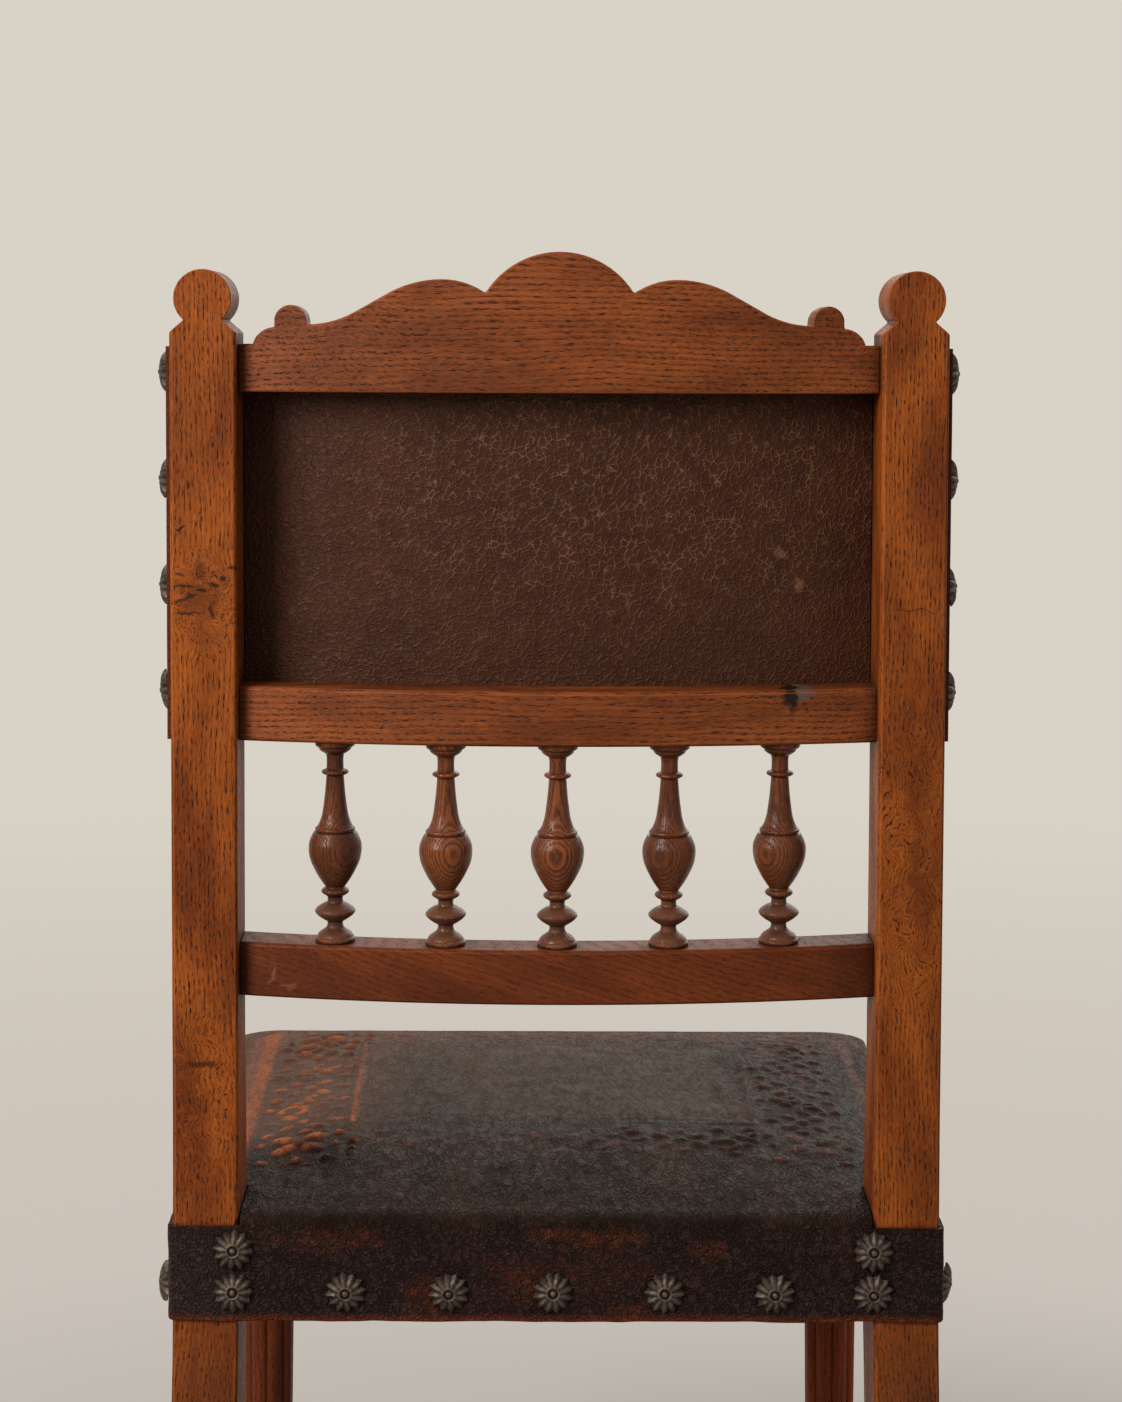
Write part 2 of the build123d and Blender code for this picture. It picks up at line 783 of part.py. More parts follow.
# Seat pad and cover: one crowned form, drawn at a distance inside the leather's outer face
def seat_ring(inset, rear_radius, front_radius, z):
    """Rounded plan of the seat, drawn in from the outer face of the leather, as a ring of points."""
    out = leather - inset
    rear, front = rear_y - out + rear_radius, front_y + out - front_radius
    corners = (
        (1, rear, rear_radius),
        (1, front, front_radius),
        (-1, front, front_radius),
        (-1, rear, rear_radius),
    )
    ring = []
    for quarter, (side, y, radius) in enumerate(corners):
        for step in range(corner_facets + 1):
            angle = pi / 2 * (quarter - 1 + step / corner_facets)
            place = y + radius * sin(angle)
            ring.append(Vector(side * (skin_x(place, out) - radius) + radius * cos(angle), place, z))
    return ring


def crowned_seat(skin, low):
    """Upright sides, a rolled edge and a crowned top, the given skin inside the leather's outer face."""
    rear_radius = leather + edge_ease - min(skin, leather)
    front_radius = front_corner_radius + leather - skin
    roll = seat_roll - skin
    outline = [(skin, low)]
    for turn in (0, 30, 60, 90):
        outline.append((skin + roll * (1 - cos(radians(turn))), band_top + roll * sin(radians(turn))))
    for share in (0.2, 0.5, 1):
        outline.append((seat_roll + share * crown_inset, band_top + roll + seat_crown * share * (2 - share)))
    rings = []
    for inset, z in outline:
        rounder = min(inset, seat_roll) - skin
        rings.append(seat_ring(inset, rear_radius + rounder, front_radius + rounder, z))
    return faceted(rings)


def stile_notches(room, low):
    """Clear the corners of a seat layer where the rear legs pass."""
    for side, hand in sides:
        across = Align.MIN if side > 0 else Align.MAX
        with BuildSketch(Plane.XY.offset(low)) as notch:
            with Locations((side * (half_span - room), rear_y + leg_depth + room)):
                Rectangle(2 * stile_width, 2 * leg_depth, align=(across, Align.MAX))
        extrude(notch.sketch, amount=2 * (seat_roll + seat_crown), mode=Mode.SUBTRACT)


hessian_z = frame_top + 2 * webbing_thickness
pad_z = hessian_z + hessian_thickness
with BuildPart() as hessian:
    hessian_inset = leather + webbing_margin
    lower, upper = [
        seat_ring(hessian_inset, edge_ease, front_corner_radius, z)
        for z in (hessian_z, hessian_z + hessian_thickness)
    ]
    add(faceted([lower, upper]))
    stile_notches(stile_slit, hessian_z)
save(hessian, "seat_hessian")

with BuildPart() as seat_pad:
    add(crowned_seat(leather + soft_gap, hem_z))
    split(bisect_by=Plane.XY.offset(pad_z), keep=Keep.TOP)
    stile_notches(2 * stile_slit, pad_z)
save(seat_pad, "seat_stuffing")

with BuildPart() as seat_leather:
    add(crowned_seat(0, hem_z))
    add(crowned_seat(leather, hem_z), mode=Mode.SUBTRACT)
    stile_notches(stile_slit, band_top)
    nail_holes(rail_nails + front_nails)
    for side, hand in sides:
        nail_holes(pair_nails[side] + side_nails[side])
save(seat_leather, "seat_cover")

# Back lining, pad and cover
with BuildPart() as lining:
    with BuildSketch(back_plan(cover_low)):
        bow_band(back_rail_thickness + soft_gap, lining_thickness, half_span - soft_gap)
    extrude(amount=cover_high - cover_low)
    nail_holes(top_nails + bottom_nails)
save(lining, "back_lining")


def swell(x):
    """How far the pad stands in front of the lining, most in the middle."""
    return back_edge_swell + back_swell * (1 - (x / half_span) ** 2)


pad_low, pad_high = cover_low + back_rim, cover_high - back_rim
pad_mid = (pad_low + pad_high) / 2


def bulge(x, depth, stand):
    """Front of the pad at one place across the back, from its top edge to its foot."""
    steps = [1 - 2 * i / bulge_facets for i in range(bulge_facets + 1)]
    half = (pad_high - pad_low) / 2
    return [(depth + stand * (1 - step**2), pad_mid + step * half) for step in steps]


def back_stack(section):
    """Solid through sections taken across the back between the rear legs."""
    places = [half_span * (2 * i / bow_facets - 1) for i in range(bow_facets + 1)]
    return faceted([[back_point(x, *point) for point in section(x)] for x in places])


def pad_section(x):
    """Section of the pad, a little clear of the leather in front of it."""
    return bulge(x, bow_depth(x, cover_offset), swell(x) - soft_gap)


def hollow_section(x):
    """Section of the hollow that the pad fills behind the leather, open to the rear."""
    depth = bow_depth(x, cover_offset)
    rear = depth - leather
    return [(rear, pad_low), (rear, pad_high), *bulge(x, depth, swell(x))]


def cover_section(x):
    """Section of the leather's outer form, with flat rims over the two rails."""
    depth = bow_depth(x, cover_offset)
    front = depth + leather
    rims = [(front, cover_low), (depth, cover_low), (depth, cover_high), (front, cover_high)]
    return [*rims, *bulge(x, front, swell(x))]


with BuildPart() as back_pad:
    add(back_stack(pad_section))
save(back_pad, "back_stuffing")

with BuildPart() as back_leather:
    add(back_stack(cover_section))
    add(back_stack(hollow_section), mode=Mode.SUBTRACT)
    for side, hand in sides:
        outer = back_width / 2
        with BuildSketch(back_plan(cover_low)):
            with BuildLine():
                FilletPolyline(
                    (side * half_span, stile_depth + leather),
                    (side * (outer + leather), stile_depth + leather),
                    (side * (outer + leather), stile_depth - back_return),
                    radius=leather + edge_ease,
                )
                FilletPolyline(
                    (side * half_span, stile_depth),
                    (side * outer, stile_depth),
                    (side * outer, stile_depth - back_return),
                    radius=edge_ease,
                )
                Line((side * half_span, stile_depth), (side * half_span, stile_depth + leather))
                Line(
                    (side * outer, stile_depth - back_return),
                    (side * (outer + leather), stile_depth - back_return),
                )
            make_face()
        extrude(amount=cover_high - cover_low)
        nail_holes(back_side_planes[side])
    nail_holes(top_nails + bottom_nails)
save(back_leather, "back_cover")

# Nails
nail_groups = {
    "seat_nails_rear": rail_nails + pair_nails[-1] + pair_nails[1],
    "seat_nails_front": front_nails,
    "seat_nails_left": side_nails[-1],
    "seat_nails_right": side_nails[1],
    "back_nails_left": back_side_planes[-1],
    "back_nails_right": back_side_planes[1],
    "back_nails_top": top_nails,
    "back_nails_bottom": bottom_nails,
}
nail_turning = [(nail_radius, 0), (nail_crown_radius, nail_height)]
for node, planes in nail_groups.items():
    with BuildPart() as nails:
        for plane in planes:
            add(turned(plane, nail_turning, nail_facets))
        with BuildSketch(*planes):
            Rectangle(nail_shank, nail_shank)
        extrude(amount=-nail_length)
    save(nails, node)
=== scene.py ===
import random
from math import atan2, cos, exp, hypot, pi, radians, sin, sqrt

import bmesh
import bpy
from mathutils import Matrix, Vector, noise


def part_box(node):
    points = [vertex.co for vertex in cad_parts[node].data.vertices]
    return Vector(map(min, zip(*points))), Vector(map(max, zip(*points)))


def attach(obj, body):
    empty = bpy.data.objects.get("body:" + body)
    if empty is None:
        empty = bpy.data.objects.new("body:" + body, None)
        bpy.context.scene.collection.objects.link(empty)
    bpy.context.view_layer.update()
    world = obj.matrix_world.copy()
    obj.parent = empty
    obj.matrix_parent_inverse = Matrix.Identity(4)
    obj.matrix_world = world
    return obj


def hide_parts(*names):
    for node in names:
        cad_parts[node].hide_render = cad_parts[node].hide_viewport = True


# An oak chair with a nailed leather seat and back, seen from behind in the main view.
# Lengths in this script are millimetres; the last step of each piece turns them into metres.
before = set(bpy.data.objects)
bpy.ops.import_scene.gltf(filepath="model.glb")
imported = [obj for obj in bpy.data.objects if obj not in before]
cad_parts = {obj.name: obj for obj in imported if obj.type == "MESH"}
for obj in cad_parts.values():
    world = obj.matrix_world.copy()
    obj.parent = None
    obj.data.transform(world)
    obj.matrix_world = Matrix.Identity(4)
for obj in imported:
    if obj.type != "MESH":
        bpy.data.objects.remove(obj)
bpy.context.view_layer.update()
chance = random.Random(1895)
METRE = 0.001

# Sizes shared with the solids
rear_y = -181.25
front_y = 228.75
half_span = 174.0
half_back = 210.0
stile_depth = 40.0
leg_depth = 46.0
side_slope = 8.0 / (front_y - rear_y)
leather = 2.5
hem_z = 400.0
frame_top = 444.0
band_top = 449.5
bend_z = 500.0
rake = radians(2.0)
back_bow = 20.0
rail_thickness = 27.0
front_block = 42.0
lower_rail_high = 104.0
spindle_pitch = 60.9
cover_low = 216.5
cover_high = 430.0
pad_low = 238.5
pad_high = 408.0
cover_offset = 29.1
bow_radius = (half_span**2 + back_bow**2) / (2 * back_bow)
bow_centre = stile_depth + sqrt((bow_radius - cover_offset) ** 2 - half_span**2)
back_up = Vector((0, -sin(rake), cos(rake)))
back_forward = Vector((0, cos(rake), sin(rake)))


def back_point(x, depth, height):
    """A point of the leaning back: across, forward from the rear of the legs, and up from their bend."""
    return Vector((x, rear_y, bend_z)) + back_forward * depth + back_up * height


def bow_depth(x, offset):
    """Depth of the bowed surface the given offset in front of the rails' rear faces."""
    return bow_centre - sqrt((bow_radius - offset) ** 2 - x**2)


def ripple(x, y, z, size):
    """Smooth unevenness between -1 and 1, with features of about the given size."""
    return noise.noise(Vector((x, y, z)) / size)


def step(low, high, value):
    """Smooth rise from 0 at low to 1 at high."""
    share = min(1.0, max(0.0, (value - low) / (high - low)))
    return share * share * (3 - 2 * share)


# Node wiring
def srgb(red, green, blue):
    """A colour given as it looks on screen, from 0 to 255."""
    values = [v / 255 for v in (red, green, blue)]
    linear = [v / 12.92 if v <= 0.04045 else ((v + 0.055) / 1.055) ** 2.4 for v in values]
    return (*linear, 1.0)


class Wiring:
    """Adds nodes to one tree and joins them."""

    def __init__(self, tree):
        self.tree = tree

    def put(self, socket, value):
        if isinstance(value, bpy.types.NodeSocket):
            self.tree.links.new(value, socket)
        else:
            socket.default_value = value

    def add(self, kind, inputs=(), **settings):
        made = self.tree.nodes.new("ShaderNode" + kind)
        for name, value in settings.items():
            setattr(made, name, value)
        for place, value in dict(inputs).items():
            self.put(made.inputs[place], value)
        return made

    def here(self):
        """The place on the chair, in metres."""
        return self.add("TexCoord").outputs["Object"]

    def attribute(self, name):
        return self.add("Attribute", attribute_name=name).outputs["Fac"]

    def math(self, operation, first, second=0.0):
        return self.add("Math", {0: first, 1: second}, operation=operation).outputs[0]

    def times(self, first, second):
        return self.math("MULTIPLY", first, second)

    def plus(self, first, second):
        return self.math("ADD", first, second)

    def minus(self, first, second):
        return self.math("SUBTRACT", first, second)

    def vector_math(self, operation, first, second):
        return self.add("VectorMath", {0: first, 1: second}, operation=operation).outputs[0]

    def length(self, vector):
        return self.add("VectorMath", {0: vector}, operation="LENGTH").outputs["Value"]

    def parts(self, vector):
        return self.add("SeparateXYZ", {0: vector}).outputs

    def shift(self, vector, scale, move=(0, 0, 0), turn=(0, 0, 0)):
        inputs = {"Vector": vector, "Scale": scale, "Location": move, "Rotation": turn}
        return self.add("Mapping", inputs).outputs[0]

    def noise(self, vector, scale, detail=2.0, roughness=0.5, distortion=0.0):
        inputs = {
            "Vector": vector,
            "Scale": scale,
            "Detail": detail,
            "Roughness": roughness,
            "Distortion": distortion,
        }
        return self.add("TexNoise", inputs).outputs["Fac"]

    def cells(self, vector, scale, feature="F1"):
        return self.add("TexVoronoi", {"Vector": vector, "Scale": scale}, feature=feature)

    def rise(self, value, low, high, floor=0.0, top=1.0):
        inputs = {"Value": value, "From Min": low, "From Max": high, "To Min": floor, "To Max": top}
        return self.add("MapRange", inputs, interpolation_type="SMOOTHSTEP").outputs[0]

    def mix(self, share, first, second):
        made = self.add("Mix", data_type="RGBA")
        for place, value in ((0, share), (6, first), (7, second)):
            self.put(made.inputs[place], value)
        return made.outputs[2]

    def bend_along(self, vector, scale, amount):
        """The same coordinates, pushed about by a slow noise."""
        push = self.add("TexNoise", {"Vector": vector, "Scale": scale}).outputs["Color"]
        centred = self.vector_math("SUBTRACT", push, (0.5, 0.5, 0.5))
        scaled = self.add("VectorMath", {0: centred, 3: amount}, operation="SCALE").outputs[0]
        return self.vector_math("ADD", vector, scaled)

    def open_air(self, distance):
        """1 in the open, less in corners and grooves."""
        return self.add("AmbientOcclusion", {"Distance": distance}, samples=6).outputs["AO"]

    def paint(self, shader, colour, roughness, shine=None):
        """Give the shader its colour, its roughness and, where it isn't the usual one, its shine."""
        self.put(shader.inputs["Base Color"], colour)
        self.put(shader.inputs["Roughness"], roughness)
        if shine is not None:
            self.put(shader.inputs["Specular IOR Level"], shine)

    def raise_surface(self, shader, height, strength, distance):
        """Let the shader's surface stand up by a height."""
        bump = self.add("Bump", {"Height": height, "Strength": strength, "Distance": distance})
        self.put(shader.inputs["Normal"], bump.outputs[0])

    def looked_at(self):
        """1 where a surface is seen straight on, in a reflection or through glass."""
        path = self.add("LightPath")
        seen = self.math("MAXIMUM", path.outputs["Is Camera Ray"], path.outputs["Is Glossy Ray"])
        return self.math("MAXIMUM", seen, path.outputs["Is Transmission Ray"])


def new_group(name, inputs, outputs):
    """An empty node group with its sockets; gives its wiring, its input node and its output node."""
    tree = bpy.data.node_groups.new(name, "ShaderNodeTree")
    for label, kind in inputs.items():
        tree.interface.new_socket(label, in_out="INPUT", socket_type="NodeSocket" + kind)
    for label, kind in outputs.items():
        tree.interface.new_socket(label, in_out="OUTPUT", socket_type="NodeSocket" + kind)
    return Wiring(tree), tree.nodes.new("NodeGroupInput"), tree.nodes.new("NodeGroupOutput")


def place_group(wiring, group, **values):
    """One use of a node group in a material."""
    made = wiring.add("Group", node_tree=group.tree)
    for name, value in values.items():
        wiring.put(made.inputs[name], value)
    return made


def new_material(name):
    """An empty material with a principled shader; gives the material, its wiring and the shader."""
    material = bpy.data.materials.new(name)
    material.use_nodes = True
    tree = material.node_tree
    tree.nodes.clear()
    wiring = Wiring(tree)
    shader = wiring.add("BsdfPrincipled")
    end = wiring.add("OutputMaterial")
    tree.links.new(shader.outputs[0], end.inputs[0])
    return material, wiring, shader


# Oak: growth rings, open pores and long fibres; the grain runs along Z of the coordinates it is given
oak_figure, oak_in, oak_out = new_group(
    "oak_figure",
    {"Vector": "Vector", "Rings per metre": "Float"},
    {"Rings": "Float", "Pores": "Float", "Fibre": "Float", "Tone": "Float", "Flecks": "Float"},
)


def wire_oak_figure():
    w = oak_figure
    grain = w.bend_along(w.shift(oak_in.outputs[0], (1, 1, 0.22)), 24.0, 0.006)
    square = w.plus(*(w.math("POWER", part, 2) for part in w.parts(grain)[:2]))
    uneven = w.times(w.noise(oak_in.outputs[0], 14.0, 1.0), 2.6)
    grown = w.times(w.math("SQRT", square), oak_in.outputs[1])
    rings = w.math("FRACT", w.plus(grown, uneven))
    early = w.times(w.rise(rings, 0.0, 0.14), w.rise(rings, 0.7, 0.3))
    w.put(oak_out.inputs["Rings"], early)
    dashes = w.cells(w.bend_along(w.shift(grain, (1550, 1550, 1000)), 0.7, 1.6), 1.0)
    kept = w.rise(dashes.outputs[1], 0.16, 0.7)
    spots = w.rise(dashes.outputs[0], 0.62, 0.3)
    dense = w.plus(w.times(early, 0.65), 0.35)
    w.put(oak_out.inputs["Pores"], w.times(w.times(spots, kept), dense))
    w.put(oak_out.inputs["Fibre"], w.noise(w.shift(grain, (1300, 1300, 150)), 1.0, 3.0, 0.6))
    w.put(oak_out.inputs["Tone"], w.noise(w.shift(oak_in.outputs[0], (34, 34, 9)), 1.0, 4.0, 0.55))
    rays = w.noise(w.shift(grain, (300, 60, 900)), 1.0, 1.0, 0.5)
    w.put(oak_out.inputs["Flecks"], w.rise(rays, 0.62, 0.72))


wire_oak_figure()

# A mark on a surface: one blot with a ragged edge
blot, blot_in, blot_out = new_group(
    "blot",
    {"Vector": "Vector", "Centre": "Vector", "Size": "Vector", "Rag": "Float"},
    {"Mask": "Float"},
)


def wire_blot():
    w = blot
    bent = w.bend_along(blot_in.outputs[0], 75.0, 0.012)
    away = w.vector_math("SUBTRACT", bent, blot_in.outputs[1])
    reach = w.length(w.vector_math("DIVIDE", away, blot_in.outputs[2]))
    ragged = w.noise(blot_in.outputs[0], 260.0, 4.0, 0.65)
    centred = w.times(w.minus(ragged, 0.5), blot_in.outputs[3])
    w.put(blot_out.inputs[0], w.rise(w.plus(reach, centred), 1.0, 0.4))


wire_blot()


def blot_at(w, place, centre, size, rag):
    """Mask of one blot, with its centre and half sizes in millimetres."""
    centre = [v * METRE for v in centre]
    size = [v * METRE for v in size]
    return place_group(w, blot, Vector=place, Centre=centre, Size=size, Rag=rag).outputs[0]


dark_spot = srgb(30, 17, 11)
stain_and_shade = srgb(66, 29, 13)
pale_scratch = srgb(158, 102, 70)
dust = srgb(98, 66, 50)
UPRIGHT = (0, 0, 0)
ALONG_X = (0, radians(90), 0)
ALONG_Y = (radians(90), 0, 0)
SLANTING = (0, radians(73), 0)


def oak(
    name,
    turn,
    heart,
    light,
    deep,
    pore,
    rings=380.0,
    banding=0.3,
    pore_share=0.9,
    sway=0.004,
    gloss=0.46,
    shine=0.16,
    shade_below_seat=0.0,
    knots=(),
    marks=(),
):
    """Waxed oak, with the grain turned to run along the piece and the tree's heart beside it."""
    material, w, shader = new_material(name)
    place = w.here()
    grain = w.bend_along(w.shift(place, (1, 1, 1), heart, turn), 5.0, sway)
    for centre, size, amount in knots:
        swirl = blot_at(w, place, centre, size, 0.4)
        grain = w.bend_along(grain, 60.0, w.times(swirl, amount))
    figure = place_group(w, oak_figure, **{"Vector": grain, "Rings per metre": rings})
    early, pores, fibre, tone, flecks = figure.outputs
    colour = w.mix(w.rise(tone, 0.32, 0.68), light, deep)
    colour = w.mix(w.times(early, banding), colour, deep)
    colour = w.mix(w.rise(fibre, 0.4, 0.72, 0.0, 0.36), colour, pore)
    colour = w.mix(w.times(flecks, 0.25), colour, light)
    colour = w.mix(w.times(pores, pore_share), colour, pore)
    # Painted shade: the oak darkens below the seat, towards the floor.
    if shade_below_seat:
        colour = w.mix(w.rise(w.parts(place)[2], 0.43, 0.39, 0.0, shade_below_seat), colour, stain_and_shade)
    for centre, size, rag, shade, strength in marks:
        spot = blot_at(w, place, centre, size, rag)
        colour = w.mix(w.times(spot, strength), colour, shade)
    # The rounded edges are lightened: partly rubbed wear, partly a painted highlight.
    colour = w.mix(w.times(w.attribute("arris"), 0.6), colour, light)
    # Painted shade: darker in corners, joints and grooves, where less light reaches.
    colour = w.mix(w.rise(w.open_air(0.014), 0.88, 0.35, 0.0, 0.7), colour, srgb(30, 15, 9))
    rough = w.plus(w.times(pores, 0.25), w.times(tone, 0.16))
    w.paint(shader, colour, w.plus(rough, gloss - 0.08), shine)
    w.raise_surface(shader, w.minus(w.times(fibre, 0.3), pores), 0.5, 0.0005)
    return material


oak_upright = oak(
    "oak_upright",
    UPRIGHT,
    (0.03, 0.32, 0.0),
    srgb(174, 90, 30),
    srgb(116, 53, 17),
    srgb(36, 14, 6),
    rings=480.0,
    pore_share=1.0,
    sway=0.008,
    shine=0.13,
    shade_below_seat=0.3,
    knots=(
        ((-193, -200, 792), (26, 60, 34), 0.045),
        ((192, -190, 650), (30, 60, 110), 0.022),
        ((-192, -190, 520), (30, 60, 60), 0.018),
    ),
    marks=(
        ((-194, -200, 796), (17, 40, 12), 2.0, stain_and_shade, 0.4),
        ((-193, -200, 809), (5, 40, 7), 1.0, stain_and_shade, 0.6),
        ((-201, -200, 801), (8, 40, 1.2), 1.2, dark_spot, 0.8),
        ((-202, -200, 794), (7, 40, 1.3), 1.2, stain_and_shade, 0.9),
        ((-199, -200, 787), (10, 40, 1.6), 1.2, stain_and_shade, 0.95),
        ((-186, -200, 788), (2.4, 40, 5), 1.0, stain_and_shade, 0.9),
        ((-204, -200, 834), (5, 40, 1.0), 0.8, dark_spot, 0.9),
        *(((5.5 * i - 198, -200, 795 + 3.7 * i), (4.2, 40, 1.7), 0.8, dark_spot, 0.9) for i in range(5)),
        ((-193, -185, 538), (13, 40, 3.4), 1.0, stain_and_shade, 0.85),
        ((193, -200, 789), (17, 40, 0.8), 0.5, stain_and_shade, 0.7),
        # Painted shade: dark_spot blots darken the foot of each rear leg below the seat, the right one
        # most, and the whole right stile a little.
        ((192, -185, 340), (40, 80, 70), 0.3, dark_spot, 0.38),
        ((192, -190, 640), (40, 90, 330), 0.3, dark_spot, 0.1),
        ((-192, -185, 340), (40, 80, 70), 0.3, dark_spot, 0.12),
    ),
)
oak_rail = oak(
    "oak_rail",
    ALONG_X,
    (0.0, 0.24, 0.0),
    srgb(156, 82, 38),
    srgb(110, 53, 23),
    srgb(40, 17, 8),
    rings=300.0,
    banding=0.5,
    pore_share=1.0,
    sway=0.016,
    marks=(
        ((131, -175, 744), (9, 30, 7), 1.2, srgb(96, 80, 70), 1.8),
        ((126, -175, 741), (6, 30, 9), 1.4, dark_spot, 2.2),
    ),
)
oak_lower = oak(
    "oak_lower",
    SLANTING,
    (0.05, 0.20, 0.3),
    srgb(124, 59, 26),
    srgb(86, 39, 17),
    srgb(44, 18, 8),
    rings=300.0,
    pore_share=0.6,
    sway=0.012,
    shine=0.12,
    marks=(
        ((-156, -165, 588), (1.8, 40, 10), 1.4, pale_scratch, 0.4),
        ((-148, -165, 580), (7, 40, 1.4), 1.4, pale_scratch, 0.3),
        ((37, -150, 588), (11, 40, 3), 1.8, pale_scratch, 0.3),
        ((78, -150, 591), (7, 40, 5), 2.0, pale_scratch, 0.3),
        ((160, -165, 592), (16, 40, 22), 0.8, stain_and_shade, 0.5),
    ),
)
oak_turned = oak(
    "oak_turned",
    UPRIGHT,
    (0.01, 0.36, 0.0),
    srgb(144, 76, 36),
    srgb(80, 38, 17),
    srgb(40, 18, 8),
    rings=700.0,
    banding=0.75,
    pore_share=0.75,
    gloss=0.22,
    shine=0.22,
    marks=(((0, -150, 617), (400, 100, 24), 0.5, dust, 0.5),),
)
# Painted light and shade: the two front legs get a lighter and a darker copy of the same oak, the right one
# lit, the left one shaded.
front_lit_and_shaded_tones = {
    "left": (srgb(118, 53, 22), srgb(86, 37, 15), srgb(40, 18, 9)),
    "right": (srgb(160, 73, 31), srgb(124, 54, 23), srgb(56, 24, 11)),
}
oak_front = {
    hand: oak(f"oak_front_{hand}", UPRIGHT, (0.02, 0.1, 0.0), *tones, gloss=0.4, shine=0.12)
    for hand, tones in front_lit_and_shaded_tones.items()
}
oak_side = oak(
    "oak_side",
    ALONG_Y,
    (0.0, 0.1, 0.15),
    srgb(146, 80, 36),
    srgb(112, 57, 25),
    srgb(52, 24, 11),
)

# Leather surface: pebbled grain, small creases and fine hairline cracks
hide_grain, hide_in, hide_out = new_group(
    "hide_grain",
    {"Vector": "Vector"},
    {"Pebble": "Float", "Crease": "Float", "Cracks": "Float", "Patch": "Float", "Net": "Float"},
)


def wire_hide_grain():
    w = hide_grain
    loose = w.bend_along(hide_in.outputs[0], 150.0, 0.006)
    pebble = w.cells(loose, 480.0, "DISTANCE_TO_EDGE").outputs[0]
    w.put(hide_out.inputs["Pebble"], w.rise(pebble, 0.0, 0.3))
    folds = w.noise(loose, 230.0, 3.0, 0.55, 0.5)
    valley = w.rise(w.math("ABSOLUTE", w.minus(folds, 0.5)), 0.0, 0.09)
    soft = w.noise(loose, 120.0, 3.0, 0.6, 0.4)
    w.put(hide_out.inputs["Crease"], w.plus(w.times(valley, 0.34), w.times(soft, 0.74)))
    crazed = w.cells(w.bend_along(hide_in.outputs[0], 300.0, 0.0018), 250.0, "DISTANCE_TO_EDGE").outputs[0]
    line = w.rise(crazed, 0.065, 0.015)
    broken = w.rise(w.noise(hide_in.outputs[0], 120.0, 4.0, 0.8), 0.43, 0.6)
    w.put(hide_out.inputs["Cracks"], w.times(line, broken))
    w.put(hide_out.inputs["Net"], w.rise(crazed, 0.16, 0.0))
    w.put(hide_out.inputs["Patch"], w.noise(loose, 24.0, 4.0, 0.6))


wire_hide_grain()


# Worn patches of the rear skirt: place across, height, half width, half height, strength
SKIRT_WEAR = (
    (-126, 442, 46, 8, 0.6),
    (-70, 411, 20, 16, 0.8),
    (-17.5, 419, 24, 15, 0.6),
    (5, 446, 30, 5, 0.7),
    (30, 443, 26, 9, 0.8),
    (83, 436.5, 16, 8, 0.7),
    (41, 402, 16, 7, 0.9),
    (10, 425, 70, 16, 0.35),
)


